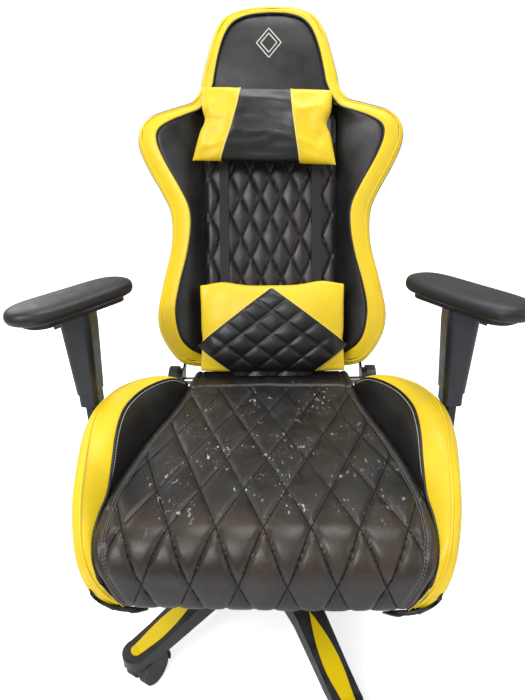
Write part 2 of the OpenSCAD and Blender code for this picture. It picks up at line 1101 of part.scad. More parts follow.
module arm_pad(side) {
    color(black)
        on_pad(side)
            translate([0, pad_y, pad_plate_t]) {
                linear_extrude(pad_t)
                    round_rect(pad_w, pad_l, 34);
            }
}

module arm_pad_left() { arm_pad(-1); }
module arm_pad_right() { arm_pad(1); }

// ---- Nodes --------------------------------------------------------------

base_star();
spoke_inserts();
caster_stems();
lift_cylinder();
dust_cover_lower();
dust_cover_middle();
lift_piston_rod();
lift_tube();
lift_valve_pin();
dust_cover_upper();
mechanism_housing();
tilt_axle();
tension_spring();
tension_bolt();
tension_knob();
lever_bush();
lift_lever();
lift_lever_grip();
seat_plate();
seat_frame();
seat_webbing();
seat_cushion();
seat_wing_left();
seat_wing_right();
mounting_bolts();
recliner_plates();
recliner_shaft();
recliner_covers();
recline_lever();
recline_lever_grip();
back_plates();
back_frame();
back_cushion();
back_bolster_left();
back_bolster_right();
back_rear_cover();
harness_bezels();
head_pillow();
head_strap();
lumbar_pillow();
lumbar_straps();
arm_brackets();
arm_sleeve_left();
arm_sleeve_right();
arm_trigger_left();
arm_trigger_right();
arm_pad_plate_left();
arm_pad_plate_right();
arm_pad_left();
arm_pad_right();
caster_hood(1);  // caster_1_hood
caster_hood(2);  // caster_2_hood
caster_hood(3);  // caster_3_hood
caster_hood(4);  // caster_4_hood
caster_hood(5);  // caster_5_hood
caster_wheels(1);  // caster_1_wheels
caster_wheels(2);  // caster_2_wheels
caster_wheels(3);  // caster_3_wheels
caster_wheels(4);  // caster_4_wheels
caster_wheels(5);  // caster_5_wheels
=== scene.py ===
"""Racing-style gaming chair: the looks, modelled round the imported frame."""
import json
import math

import bpy
from mathutils import Matrix, Vector, noise

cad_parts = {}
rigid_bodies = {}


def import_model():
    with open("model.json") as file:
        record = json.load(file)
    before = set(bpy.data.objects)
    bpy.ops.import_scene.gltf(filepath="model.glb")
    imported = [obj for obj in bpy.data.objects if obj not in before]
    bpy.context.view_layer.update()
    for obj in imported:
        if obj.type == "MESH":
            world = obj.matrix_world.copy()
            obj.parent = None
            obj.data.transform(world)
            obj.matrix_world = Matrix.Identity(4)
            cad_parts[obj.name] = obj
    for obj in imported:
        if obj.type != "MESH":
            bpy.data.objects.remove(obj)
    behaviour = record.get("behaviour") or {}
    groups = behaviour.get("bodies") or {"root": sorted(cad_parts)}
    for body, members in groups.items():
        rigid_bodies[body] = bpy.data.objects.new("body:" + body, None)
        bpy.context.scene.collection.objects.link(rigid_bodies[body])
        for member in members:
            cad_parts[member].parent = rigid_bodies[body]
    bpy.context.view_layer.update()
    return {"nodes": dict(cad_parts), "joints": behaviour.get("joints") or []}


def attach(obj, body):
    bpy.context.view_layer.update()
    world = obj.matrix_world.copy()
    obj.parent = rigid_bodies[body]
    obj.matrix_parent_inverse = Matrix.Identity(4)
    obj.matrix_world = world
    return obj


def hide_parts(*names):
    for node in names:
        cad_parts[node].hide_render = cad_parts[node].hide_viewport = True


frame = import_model()

bl_info = {
    "name": "Gaming Chair",
    "version": (1, 0, 0),
    "blender": (4, 5, 0),
    "location": "View3D > Sidebar > Chair",
    "description": "Builds a racing-style gaming chair round its packed frame",
    "category": "Object",
}

MM = 0.001
JOINTS = {joint["name"]: joint for joint in frame["joints"]}
SIDES = ((-1, "left"), (1, "right"))
SEAT_HEIGHT = 407


def local_frame(origin, up):
    """Millimetre frame with x across, y rearwards and z along up, as a matrix to metres."""
    up = Vector(up).normalized()
    across = Vector((1, 0, 0))
    axes = Matrix((across, up.cross(across), up)).transposed().to_4x4()
    return Matrix.Translation(origin) @ axes @ Matrix.Scale(MM, 4)


SEAT = local_frame((0, 0, SEAT_HEIGHT * MM), JOINTS["arm_height_left"]["axis"])
BACK = local_frame(JOINTS["recline"]["pos_m"], JOINTS["lumbar_slide"]["axis"])


# ---- Curves -------------------------------------------------------------------------------------

def around(items, i):
    """The items before and after the one at i, or that one itself at an end."""
    return items[max(i - 1, 0)], items[min(i + 1, len(items) - 1)]


def smooth(points, steps=4):
    """Smooth curve through the points, each a tuple of numbers, with steps from one to the next."""
    out = []
    for i in range(len(points) - 1):
        a, c = around(points, i)
        b, d = around(points, i + 1)
        for k in range(steps):
            t = k / steps
            out.append(tuple(
                0.5 * (2 * q + (r - p) * t + (2 * p - 5 * q + 4 * r - s) * t * t
                       + (3 * q - p - 3 * r + s) * t ** 3)
                for p, q, r, s in zip(a, b, c, d)))
    out.append(tuple(points[-1]))
    return out


def lookup(table, key):
    """Value at key in a table of (key, value) pairs in rising order."""
    if key <= table[0][0]:
        return table[0][1]
    for (a, va), (b, vb) in zip(table, table[1:]):
        if key <= b:
            return va + (vb - va) * (key - a) / (b - a)
    return table[-1][1]


def smoothstep(low, high, value):
    """Rises softly from 0 at low to 1 at high, or falls where low is the larger."""
    t = min(max((value - low) / (high - low), 0), 1)
    return t * t * (3 - 2 * t)


def arch(t, power=1.0):
    """Arch over t from 0 to 1, with a height of 1."""
    return math.sin(math.pi * t) ** power


def bell(offset, width):
    """Bell curve with a height of 1 at no offset."""
    return math.exp(-(offset / width) ** 2)


def blend_points(a, b, t):
    return tuple(p + (q - p) * t for p, q in zip(a, b))


def evenly(points, spacing):
    """Points a fixed distance apart along a line of Vectors, with the direction at each."""
    out = []
    left = spacing / 2
    for a, b in zip(points, points[1:]):
        length = (b - a).length
        if length == 0:
            continue
        way = (b - a) / length
        while left <= length:
            out.append((a + way * left, way))
            left += spacing
        left -= length
    return out


def puff(seed, x, up, size, height):
    """Soft unevenness of stuffed leather at a place in millimetres."""
    return noise.noise(Vector((x, up, 0)) / size + Vector((seed * 7.3, 0, 0))) * height


# ---- Modelling ----------------------------------------------------------------------------------

def deselect():
    if bpy.context.object and bpy.context.object.mode != "OBJECT":
        bpy.ops.object.mode_set(mode="OBJECT")
    bpy.ops.object.select_all(action="DESELECT")


def activate(piece):
    deselect()
    piece.select_set(True)
    bpy.context.view_layer.objects.active = piece


def edit_all(piece):
    """Enters edit mode with the whole mesh selected."""
    activate(piece)
    bpy.ops.object.mode_set(mode="EDIT")
    bpy.ops.mesh.select_all(action="SELECT")


def added(name):
    """The object that an operator has just made, under its own name."""
    piece = bpy.context.object
    piece.name = name
    piece.data.name = name
    return piece


def settle(piece, matrix):
    """Moves the object's own place and then matrix into its mesh."""
    piece.data.transform(matrix @ piece.matrix_world)
    piece.matrix_world = Matrix.Identity(4)


def apply_modifier(piece, kind, **settings):
    activate(piece)
    modifier = piece.modifiers.new(kind.title(), kind)
    for key, value in settings.items():
        setattr(modifier, key, value)
    bpy.ops.object.modifier_apply(modifier=modifier.name)


def subdivide(piece, levels):
    apply_modifier(piece, "SUBSURF", levels=levels, render_levels=levels)


def outward(piece, merge=0.02 * MM):
    """Merges doubles and turns every face outwards."""
    edit_all(piece)
    bpy.ops.mesh.remove_doubles(threshold=merge)
    bpy.ops.mesh.normals_make_consistent(inside=False)
    bpy.ops.object.mode_set(mode="OBJECT")


def smooth_shade(piece, angle):
    activate(piece)
    bpy.ops.object.shade_smooth_by_angle(angle=math.radians(angle))


def paint(piece, *materials):
    piece.data.materials.clear()
    for material in materials:
        piece.data.materials.append(material)


def finish_piece(piece, body, replaces=()):
    """Puts the piece on the body it rides on and hides the nodes it stands for."""
    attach(piece, body)
    if replaces:
        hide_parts(*replaces)


def delete_faces(piece, chosen):
    """Deletes the faces whose centre in metres is chosen."""
    activate(piece)
    for face in piece.data.polygons:
        face.select = chosen(face.center)
    bpy.ops.object.mode_set(mode="EDIT")
    bpy.ops.mesh.select_mode(type="FACE")
    bpy.ops.mesh.delete(type="FACE")
    bpy.ops.mesh.select_mode(type="VERT")
    bpy.ops.object.mode_set(mode="OBJECT")


def skin(name, rows, matrix, material, thickness=4, rounds=1, seams=None, flip=False, open_at=None):
    """Sheet through rows of points, thickened inwards, in mm.

    seams gives each point's quilt coordinates, flip turns the sheet's outside round and open_at
    says whether a point in the frame lies in an opening.
    """
    if flip:
        rows = [row[::-1] for row in rows]
        seams = seams and [marks[::-1] for marks in seams]
    across, along = len(rows[0]) - 1, len(rows) - 1
    deselect()
    bpy.ops.mesh.primitive_grid_add(x_subdivisions=across, y_subdivisions=along, size=2)
    piece = added(name)
    for vertex in piece.data.vertices:
        j, i = divmod(vertex.index, across + 1)
        vertex.co = rows[j][i]
    for group in (piece.data.vertices, piece.data.edges, piece.data.polygons):
        group.foreach_set("select", [False] * len(group))
    paint(piece, material)
    if seams:
        layer = piece.data.uv_layers.active
        layer.name = "quilt"
        for loop in piece.data.loops:
            j, i = divmod(loop.vertex_index, across + 1)
            layer.uv[loop.index].vector = seams[j][i]
    settle(piece, matrix)
    if rounds:
        subdivide(piece, rounds)
    if open_at:
        inverse = matrix.inverted()
        delete_faces(piece, lambda centre: open_at(inverse @ centre))
    apply_modifier(piece, "SOLIDIFY", thickness=thickness * MM, offset=-1, use_even_offset=False)
    smooth_shade(piece, 50)
    return piece


def panel(name, rows, matrix, material, body, slot, replaces=(), fill=0.8, **shape):
    """Padded leather panel: a skin put on its body; its slot and fill are not used."""
    piece = skin(name, rows, matrix, material, **shape)
    finish_piece(piece, body, replaces)


def cushion(name, across, along, surface, matrix):
    """Closed form from surface(u, v, facing), whose facing is 1 on the front and -1 on the back."""
    deselect()
    bpy.ops.mesh.primitive_grid_add(x_subdivisions=across, y_subdivisions=along, size=1)
    piece = added(name)
    edit_all(piece)
    bpy.ops.mesh.extrude_region_move(TRANSFORM_OT_translate={"value": (0, 0, 1)})
    bpy.ops.object.mode_set(mode="OBJECT")
    for vertex in piece.data.vertices:
        facing = 1 if vertex.co.z > 0.5 else -1
        vertex.co = surface(vertex.co.x + 0.5, vertex.co.y + 0.5, facing)
    settle(piece, matrix)
    outward(piece)
    return piece


def plate(name, outline, low, high, matrix, bevel):
    """Outline raised from low to high, with its edges rounded."""
    deselect()
    bpy.ops.mesh.primitive_circle_add(vertices=len(outline), radius=1, fill_type="NGON")
    piece = added(name)
    for vertex in piece.data.vertices:
        vertex.co = (*outline[vertex.index], low)
    edit_all(piece)
    bpy.ops.mesh.extrude_region_move(TRANSFORM_OT_translate={"value": (0, 0, high - low)})
    bpy.ops.mesh.select_all(action="SELECT")
    bpy.ops.mesh.normals_make_consistent(inside=False)
    bpy.ops.object.mode_set(mode="OBJECT")
    apply_modifier(piece, "BEVEL", width=bevel, segments=3, angle_limit=math.radians(35))
    settle(piece, matrix)
    smooth_shade(piece, 35)
    return piece


def rod(name, points, radius, matrix, closed=False, sides=3):
    """Round cord along the points, in mm."""
    deselect()
    bpy.ops.curve.primitive_bezier_curve_add()
    curve = added(name).data
    curve.dimensions = "3D"
    curve.splines.clear()
    spline = curve.splines.new("POLY")
    spline.points.add(len(points) - 1)
    for target, point in zip(spline.points, points):
        target.co = (*point, 1)
    spline.use_cyclic_u = closed
    curve.bevel_depth = radius
    curve.bevel_resolution = sides
    curve.use_fill_caps = not closed
    activate(bpy.context.object)
    bpy.ops.object.convert(target="MESH")
    piece = added(name)
    settle(piece, matrix)
    outward(piece)
    smooth_shade(piece, 60)
    return piece


def piping(name, points, radius, matrix, material, body, slot):
    """Finished cord along the points, in mm."""
    piece = rod(name, points, radius, matrix)
    paint(piece, material)
    finish_piece(piece, body)


def join(name, pieces, material):
    """Joins finished pieces into one of one material."""
    deselect()
    for piece in pieces:
        piece.select_set(True)
    bpy.context.view_layer.objects.active = pieces[0]
    bpy.ops.object.join()
    piece = added(name)
    paint(piece, material)
    return piece


def snapped(points, surface, lift, matrix):
    """Points in the frame's mm laid lift mm above a surface, as Vectors in metres."""
    out = []
    for point in points:
        _, place, normal, _ = surface.closest_point_on_mesh(matrix @ Vector(point))
        out.append(place + normal * lift * MM)
    return out


def stitches(name, lines, material, body, length, radius, spacing=5.0):
    """Row of thread stitches along each line of points in metres, as one finished piece."""
    deselect()
    bpy.ops.mesh.primitive_cylinder_add(vertices=6, radius=radius * MM, depth=length * MM)
    pattern = bpy.context.object
    apply_modifier(pattern, "BEVEL", width=radius * 0.6 * MM, segments=1)
    shape = [vertex.co.copy() for vertex in pattern.data.vertices]
    faces = [tuple(face.vertices) for face in pattern.data.polygons]
    vertices, all_faces = [], []
    for line in lines:
        for place, way in evenly(line, spacing * MM):
            turn = way.to_track_quat("Z", "X")
            start = len(vertices)
            vertices += [place + turn @ corner for corner in shape]
            all_faces += [tuple(start + i for i in face) for face in faces]
    pattern.data.clear_geometry()
    pattern.data.from_pydata(vertices, [], all_faces)
    piece = added(name)
    paint(piece, material)
    smooth_shade(piece, 60)
    finish_piece(piece, body)


def inflate(piece, inverse, held, pressure, most, frames=16):
    """Swells a closed form with cloth simulation, by at most most mm.

    held says how firmly a vertex is pinned, from its point in the frame that inverse leads to.
    """
    activate(piece)
    group = piece.vertex_groups.new(name="held")
    for vertex in piece.data.vertices:
        weight = float(held(inverse @ vertex.co))
        if weight > 0:
            group.add([vertex.index], weight, "REPLACE")
    before = [vertex.co.copy() for vertex in piece.data.vertices]
    modifier = piece.modifiers.new("Cloth", "CLOTH")
    cloth = modifier.settings
    cloth.quality = 4
    cloth.mass = 0.25
    cloth.tension_stiffness = 12
    cloth.compression_stiffness = 12
    cloth.bending_stiffness = 0.4
    cloth.use_pressure = True
    cloth.uniform_pressure_force = pressure
    cloth.vertex_group_mass = "held"
    cloth.effector_weights.gravity = 0
    modifier.collision_settings.use_collision = False
    modifier.point_cache.frame_start = 1
    modifier.point_cache.frame_end = frames
    for step in range(1, frames + 1):
        bpy.context.scene.frame_set(step)
    evaluated = piece.evaluated_get(bpy.context.evaluated_depsgraph_get())
    after = [vertex.co.copy() for vertex in evaluated.data.vertices]
    piece.modifiers.clear()
    piece.vertex_groups.clear()
    for vertex, old, new in zip(piece.data.vertices, before, after):
        move = new - old
        if move.length > most * MM:
            move *= most * MM / move.length
        vertex.co = old + move
    bpy.context.scene.frame_set(1)


# ---- Materials ----------------------------------------------------------------------------------

class Mixer:
    """A material's node tree, with short calls for the nodes that the finishes share."""

    def __init__(self, name, **sockets):
        self.material = bpy.data.materials.new(name)
        self.material.use_nodes = True
        self.nodes = self.material.node_tree.nodes
        self.links = self.material.node_tree.links
        self.inputs = self.nodes["Principled BSDF"].inputs
        for socket, value in sockets.items():
            self.feed(self.inputs[socket.replace("_", " ").title()], value)
        self.place = self.nodes.new("ShaderNodeTexCoord").outputs["Object"]

    def feed(self, socket, value):
        """Links a socket to another node's output, or sets its value."""
        if isinstance(value, bpy.types.NodeSocket):
            self.links.new(value, socket)
        else:
            socket.default_value = (*value, 1) if socket.type == "RGBA" else value

    def node(self, kind, inputs=(), **settings):
        made = self.nodes.new("ShaderNode" + kind)
        for key, value in settings.items():
            setattr(made, key, value)
        for key, value in dict(inputs).items():
            self.feed(made.inputs[key], value)
        return made

    def noise(self, scale, detail=3.0, roughness=0.55, place=None):
        inputs = {"Vector": place or self.place, "Scale": scale, "Detail": detail,
                  "Roughness": roughness}
        return self.node("TexNoise", inputs).outputs["Fac"]

    def cells(self, scale, feature="F1"):
        inputs = {"Vector": self.place, "Scale": scale}
        return self.node("TexVoronoi", inputs, feature=feature).outputs["Distance"]

    def wave(self, scale, direction, distortion=0.0):
        inputs = {"Vector": self.place, "Scale": scale, "Distortion": distortion}
        return self.node("TexWave", inputs, bands_direction=direction).outputs["Fac"]

    def between(self, value, low, high, out_low=0.0, out_high=1.0):
        inputs = {"Value": value, "From Min": low, "From Max": high, "To Min": out_low,
                  "To Max": out_high}
        return self.node("MapRange", inputs).outputs["Result"]

    def maths(self, operation, a, b=0.0):
        return self.node("Math", {0: a, 1: b}, operation=operation).outputs[0]

    def product(self, first, *others):
        for other in others:
            first = self.maths("MULTIPLY", first, other)
        return first

    def inverse(self, value):
        return self.maths("SUBTRACT", 1.0, value)

    def mixed(self, factor, a, b):
        return self.node("Mix", {0: factor, 6: a, 7: b}, data_type="RGBA").outputs[2]

    def along(self, matrix, axis):
        """Millimetres along one axis of a frame."""
        row = matrix.inverted()[axis]
        dot = self.node("VectorMath", {0: self.place, 1: tuple(row[:3])}, operation="DOT_PRODUCT")
        return self.maths("ADD", dot.outputs["Value"], row[3])

    def facing_up(self):
        normal = self.node("NewGeometry").outputs["Normal"]
        return self.node("SeparateXYZ", {0: normal}).outputs["Z"]

    def colour(self, value):
        self.feed(self.inputs["Base Color"], value)

    def over(self, factor, colour):
        """Lays a colour over the base colour where factor is 1."""
        base = self.inputs["Base Color"].links[0].from_socket
        self.colour(self.mixed(factor, base, colour))

    def rough(self, scale, detail, low, high):
        """Uneven roughness from low to high."""
        uneven = self.between(self.noise(scale, detail), 0.3, 0.7, low, high)
        self.feed(self.inputs["Roughness"], uneven)

    def bump(self, height, strength, distance):
        inputs = {"Strength": strength, "Distance": distance, "Height": height}
        below = self.inputs["Normal"]
        if below.is_linked:
            inputs["Normal"] = below.links[0].from_socket
        self.links.new(self.node("Bump", inputs).outputs["Normal"], below)


def tinted(colour, factor):
    return tuple(channel * factor for channel in colour)


def make_leather(name, colour, deep, low=0.34, high=0.52, depth=1.0):
    """Coated leather with a pebbled grain and faint creases."""
    mix = Mixer(name)
    cloud = mix.between(mix.noise(9), 0.35, 0.65)
    mottle = mix.between(mix.noise(160), 0.3, 0.7, 0, 0.2)
    mix.colour(mix.mixed(mix.maths("MAXIMUM", cloud, mottle), colour, deep))
    mix.rough(34, 4, low, high)
    pebble = mix.maths("ADD", mix.cells(620), mix.product(mix.noise(1500, 2), 0.5))
    mix.bump(pebble, 0.32 * depth, 0.00035)
    mix.bump(mix.between(mix.cells(95, "DISTANCE_TO_EDGE"), 0.0, 0.05), 0.10 * depth, 0.0003)
    mix.bump(mix.noise(26), 0.12, 0.003)
    return mix


def sew_lines(mix):
    """Fine sunk seams where the quilt coordinates are whole, pulled in at each stitch."""
    seams = mix.node("SeparateXYZ", {0: mix.node("UVMap", uv_map="quilt").outputs["UV"]}).outputs
    near = []
    for axis, other in (("X", "Y"), ("Y", "X")):
        away = mix.maths("PINGPONG", seams[axis], 0.5)
        pull = mix.maths("PINGPONG", mix.product(seams[other], 9), 0.5)
        near.append(mix.between(away, 0.0, mix.between(pull, 0, 0.5, 0.012, 0.026)))
    line = mix.maths("MINIMUM", *near)
    mix.bump(line, 0.9, 0.0012)
    mix.over(mix.product(mix.inverse(line), 0.7), (0.004, 0.0035, 0.003))


def crest_wear_and_sheen(mix, along):
    """Paints the seat's crest brown, partly as wear and partly as a painted bronze sheen, and
    reddens its front below.
    """
    level = mix.along(SEAT, 2)
    crest = mix.product(mix.between(along, -215, -262), mix.between(level, -52, -22),
                        mix.between(mix.noise(14, 2), 0.3, 0.6, 0.35, 1))
    pores = mix.between(mix.noise(520, 2), 0.34, 0.44)
    mix.over(mix.product(crest, pores, 0.6), (0.060, 0.040, 0.022))
    mix.over(mix.between(level, -30, -100, 0, 0.7), (0.012, 0.0055, 0.0045))


def make_worn_leather(name, colour, deep, matrix, low, high, amount):
    """Black leather, cracked and flaked between two places along the frame's y or z."""
    mix = make_leather(name, colour, deep, 0.30, 0.5, 1.3)
    along = mix.along(matrix, 1 if matrix is SEAT else 2)
    across = mix.maths("ABSOLUTE", mix.along(matrix, 0))
    inside = mix.product(mix.between(along, low, low + 60), mix.between(along, high + 60, high),
                         mix.between(across, 230, 90, 0.25, 1))
    patch = mix.product(mix.between(mix.noise(17), 0.46, 0.62), inside)
    inputs = {"Vector": mix.place, "Rotation": (0, 0, 0.6), "Scale": (1, 0.5, 1)}
    drawn = mix.node("Mapping", inputs).outputs["Vector"]
    flake = mix.between(mix.noise(150, 4, 0.6, drawn), 0.665 - amount, 0.69 - amount)
    fleck = mix.between(mix.noise(640, 2), 0.715 - amount, 0.735 - amount)
    bare = mix.product(mix.maths("MAXIMUM", flake, fleck), patch)
    # Faint blue-grey clouds at random over the leather: a painted sheen.
    mix.over(mix.between(mix.noise(48, 5), 0.5, 0.8, 0, 0.12), (0.085, 0.085, 0.088))
    mix.over(bare, (0.62, 0.58, 0.53))
    mix.bump(mix.inverse(bare), 0.5, 0.0006)
    crack = mix.between(mix.cells(210, "DISTANCE_TO_EDGE"), 0.0, 0.035)
    mix.bump(mix.maths("MAXIMUM", crack, mix.inverse(patch)), 0.2, 0.0004)
    if matrix is SEAT:
        # Brown crest band: partly wear, partly painted sheen.
        crest_wear_and_sheen(mix, along)
    sew_lines(mix)
    return mix


def make_plastic(name, colour, roughness, dust, texture, **sockets):
    """Moulded plastic with a fine texture, dustier where it faces up."""
    mix = Mixer(name, **sockets)
    settled = mix.product(mix.between(mix.facing_up(), 0.2, 1.0),
                          mix.between(mix.noise(30, 5), 0.4, 0.75))
    specks = mix.between(mix.noise(800, 2), 0.66, 0.72)
    grey = mix.product(mix.maths("MAXIMUM", settled, specks), dust)
    mix.colour(mix.mixed(grey, colour, tuple(0.55 * channel + 0.16 for channel in colour)))
    mix.rough(60, 3, roughness - 0.06, roughness + 0.08)
    mix.bump(mix.noise(2200, 2), texture, 0.0002)
    mix.bump(mix.noise(35, 2), 0.05, 0.001)
    return mix


def make_metal(name, colour, roughness, metallic):
    """Drawn metal with faint upright streaks."""
    mix = Mixer(name, metallic=metallic)
    stretched = mix.node("Mapping", {"Vector": mix.place, "Scale": (1, 1, 12)}).outputs["Vector"]
    lines = mix.noise(260, place=stretched)
    streaks = mix.between(lines, 0.3, 0.7, roughness - 0.1, roughness + 0.12)
    mix.feed(mix.inputs["Roughness"], streaks)
    mix.colour(mix.mixed(mix.between(mix.noise(40, 4), 0.4, 0.7), colour, tinted(colour, 0.8)))
    mix.bump(lines, 0.08, 0.0002)
    return mix


def make_thread(name, colour):
    mix = Mixer(name, roughness=0.75, sheen_weight=0.3)
    ply = mix.wave(700, "DIAGONAL", 1.5)
    mix.colour(mix.mixed(ply, colour, tinted(colour, 0.7)))
    mix.bump(ply, 0.4, 0.0003)
    return mix


def make_webbing(name, colour):
    """Woven strap, with ribs across it."""
    mix = Mixer(name, roughness=0.85, sheen_weight=0.25)
    weave = mix.product(mix.wave(330, "X"), mix.wave(260, "Z"))
    mix.colour(mix.mixed(weave, tinted(colour, 0.5), colour))
    mix.bump(weave, 0.6, 0.0005)
    return mix


def make_floor(name):
    """Pale floor that the camera sees a little brighter than it is lit."""
    mix = Mixer(name, roughness=0.7, emission_color=(1, 1, 1))
    mix.colour(mix.mixed(mix.noise(3, 2), (0.94, 0.94, 0.945), (0.96, 0.96, 0.96)))
    seen = mix.node("LightPath").outputs["Is Camera Ray"]
    mix.feed(mix.inputs["Emission Strength"], mix.product(seen, 0.6))
    return mix


class Paints:
    """Every finish on the chair, made once by make_paints."""


def make_paints():
    chair = bpy.context.scene.gaming_chair
    yellow, black = tuple(chair.yellow), tuple(chair.black)
    deep_yellow = (yellow[0] * 0.93, yellow[1] * 0.88, yellow[2])
    brown = (black[0] * 1.7, black[1] * 1.3, black[2] * 1.1)
    makers = {
        "yellow": make_leather("yellow_leather", yellow, deep_yellow, 0.38, 0.55, 0.7),
        "black": make_leather("black_leather", black, tinted(black, 0.6), 0.33, 0.5),
        "seat": make_worn_leather("worn_seat_leather", black, tinted(black, 1.35), SEAT,
                                  -300, 110, 0.03),
        "back": make_worn_leather("worn_back_leather", brown, black, BACK, 200, 470, -0.035),
        "thread": make_thread("pale_thread", (0.80, 0.78, 0.72)),
        # The dark thread below serves only the painted shadow beside the backrest's ridge.
        "black_thread": make_thread("dark_thread", (0.03, 0.03, 0.03)),
        "grey_thread": make_thread("grey_thread", (0.22, 0.21, 0.19)),
        "yellow_thread": make_thread("yellow_thread", (0.85, 0.74, 0.25)),
        "welt": make_leather("pale_yellow_welt", (0.86, 0.72, 0.16), (0.8, 0.62, 0.1),
                             0.35, 0.5, 0.4),
        "webbing": make_webbing("black_webbing", (0.035, 0.034, 0.033)),
        "nylon": make_plastic("base_nylon", (0.018, 0.018, 0.02), 0.36, 0.2, 0.15),
        "insert": make_plastic("yellow_insert", (0.92, 0.66, 0.005), 0.16, 0.04, 0.02,
                               coat_weight=0.5),
        "plastic": make_plastic("black_plastic", (0.02, 0.02, 0.021), 0.42, 0.12, 0.3),
        "sleeve": make_plastic("sleeve_plastic", (0.012, 0.015, 0.021), 0.38, 0.03, 0.12),
        "pad": make_plastic("soft_pad", (0.012, 0.012, 0.013), 0.44, 0.06, 0.5),
        "caster": make_plastic("caster_plastic", (0.03, 0.025, 0.022), 0.5, 0.45, 0.3),
        "tread": make_plastic("wheel_tread", (0.035, 0.032, 0.03), 0.6, 0.6, 0.4),
        "steel": make_metal("bright_steel", (0.62, 0.62, 0.63), 0.3, 1.0),
        "black_steel": make_metal("black_steel", (0.03, 0.03, 0.032), 0.42, 0.4),
        "floor": make_floor("studio_floor"),
    }
    for name, mix in makers.items():
        setattr(Paints, name, mix.material)


NODE_FINISHES = {
    "nylon": ("base_star",),
    "insert": ("spoke_inserts",),
    "steel": ("caster_stems", "lift_piston_rod", "lift_tube", "tilt_axle", "tension_spring",
              "lift_valve_pin", "lift_lever", "mounting_bolts", "recliner_shaft", "tension_bolt"),
    "plastic": ("dust_cover_lower", "dust_cover_middle", "dust_cover_upper", "lever_bush",
                "lift_lever_grip", "tension_knob", "recline_lever_grip", "recliner_covers",
                "arm_trigger_left", "arm_trigger_right"),
    "black_steel": ("lift_cylinder", "mechanism_housing", "seat_plate", "seat_frame",
                    "recliner_plates", "recline_lever", "back_plates", "back_frame", "arm_brackets",
                    "arm_pad_plate_left", "arm_pad_plate_right"),
    "webbing": ("seat_webbing",),
    "sleeve": ("arm_sleeve_left", "arm_sleeve_right"),
    "caster": tuple(f"caster_{k}_hood" for k in range(1, 6)),
    "tread": tuple(f"caster_{k}_wheels" for k in range(1, 6)),
    "black": ("harness_bezels",),
}


def paint_nodes():
    """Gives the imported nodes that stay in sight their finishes."""
    for finish, names in NODE_FINISHES.items():
        for name in names:
            for slot in frame["nodes"][name].material_slots:
                slot.material = getattr(Paints, finish)


# ---- Shape of the backrest and the seat ---------------------------------------------------------

# Border of the backrest: outer edge (x, z, forward) and its inner seam, from the foot to the crown
BACK_BORDER = [
    ((150, 33, 16), (150, 58, 18)), ((192, 44, 30), (176, 76, 40)),
    ((226, 90, 38), (191, 104, 52)), ((237, 140, 40), (197, 152, 55)),
    ((225, 208, 40), (188, 205, 55)), ((209, 272, 40), (173, 262, 55)),
    ((204, 318, 40), (164, 318, 55)), ((208, 362, 40), (166, 362, 55)),
    ((226, 402, 40), (185, 405, 55)), ((252, 448, 40), (214, 456, 54)),
    ((272, 494, 40), (233, 500, 52)), ((273, 530, 39), (231, 528, 50)),
    ((254, 557, 37), (206, 547, 46)), ((208, 575, 33), (174, 562, 40)),
    ((165, 593, 27), (142, 580, 32)), ((146, 622, 22), (121, 622, 28)),
    ((140, 652, 20), (115, 652, 27)), ((129, 697, 18), (106, 698, 25)),
    ((115, 745, 16), (93, 738, 22)), ((93, 778, 14), (74, 764, 20)),
    ((50, 795, 12), (42, 778, 18)), ((0, 799, 12), (0, 782, 17)),
]
BORDER_STEPS = 5
HALF_BORDER = list(zip(*(smooth([pair[k] for pair in BACK_BORDER], BORDER_STEPS) for k in (0, 1))))
OUTLINE = [(outer[1], outer[0]) for outer, _ in HALF_BORDER]
SEAM_WIDTH = [(seam[1], seam[0]) for _, seam in HALF_BORDER]
SEAM_FORWARD = [(seam[1], seam[2]) for _, seam in HALF_BORDER]
PAD_HALF = 141
PAD_LOW, PAD_FADE, PAD_HIGH = 31, 578, 592
PAD_CELL = (43, 88)
HEAD_LOW, HEAD_HIGH = 586, 781
SHELL_FRONT, SHELL_DEPTH = -12, 43
OPENING = (98, 530, 35, 31)

# Seat wing, from rear to front: y, then (x, z) of the pad's edge, seam, piping and outer edge
WING = [
    (152, (166, -3), (168, 2), (174, 4), (180, -2)),
    (135, (168, -3), (173, 16), (186, 22), (194, 12)),
    (112, (171, -3), (181, 33), (207, 38), (218, 26)),
    (90, (174, -3), (194, 43), (234, 45), (252, 32)),
    (60, (179, -3), (213, 48), (258, 49), (277, 35)),
    (25, (187, -3), (229, 50), (273, 52), (289, 37)),
    (-20, (199, -3), (238, 51), (280, 54), (296, 38)),
    (-60, (206, -3), (238, 50), (279, 54), (295, 38)),
    (-105, (214, -3), (234, 42), (273, 52), (289, 37)),
    (-150, (220, -3), (228, 26), (264, 47), (280, 33)),
    (-195, (224, -3), (225, 4), (255, 39), (270, 26)),
    (-235, (224, -4), (225, -1), (247, 27), (261, 14)),
    (-268, (222, -10), (223, -7), (239, 8), (251, -4)),
    (-290, (218, -24), (219, -20), (232, -12), (242, -24)),
    (-300, (212, -46), (213, -43), (224, -40), (233, -50)),
    (-300, (202, -76), (203, -73), (212, -74), (220, -80)),
    (-294, (188, -101), (189, -99), (196, -101), (203, -103)),
]
CREST_START = -262
CREST_RADIUS = 44
SEAT_REAR, SEAT_FRONT = 215, -402
SEAT_CELL = 62
SEAT_WELT = 142
UNDERSIDE = -106
WING_FOOT = -104
# Half width of the seat's centre pad along its skin, from its foot over the crest to its rear
SEAT_WIDTH = smooth([(SEAT_FRONT, 176), (-380, 190), (-331, 209), (-300, 217), (-262, 222),
                     (-220, 225), (-178, 223), (-68, 207), (60, 178), (140, 168), (SEAT_REAR, 160)])


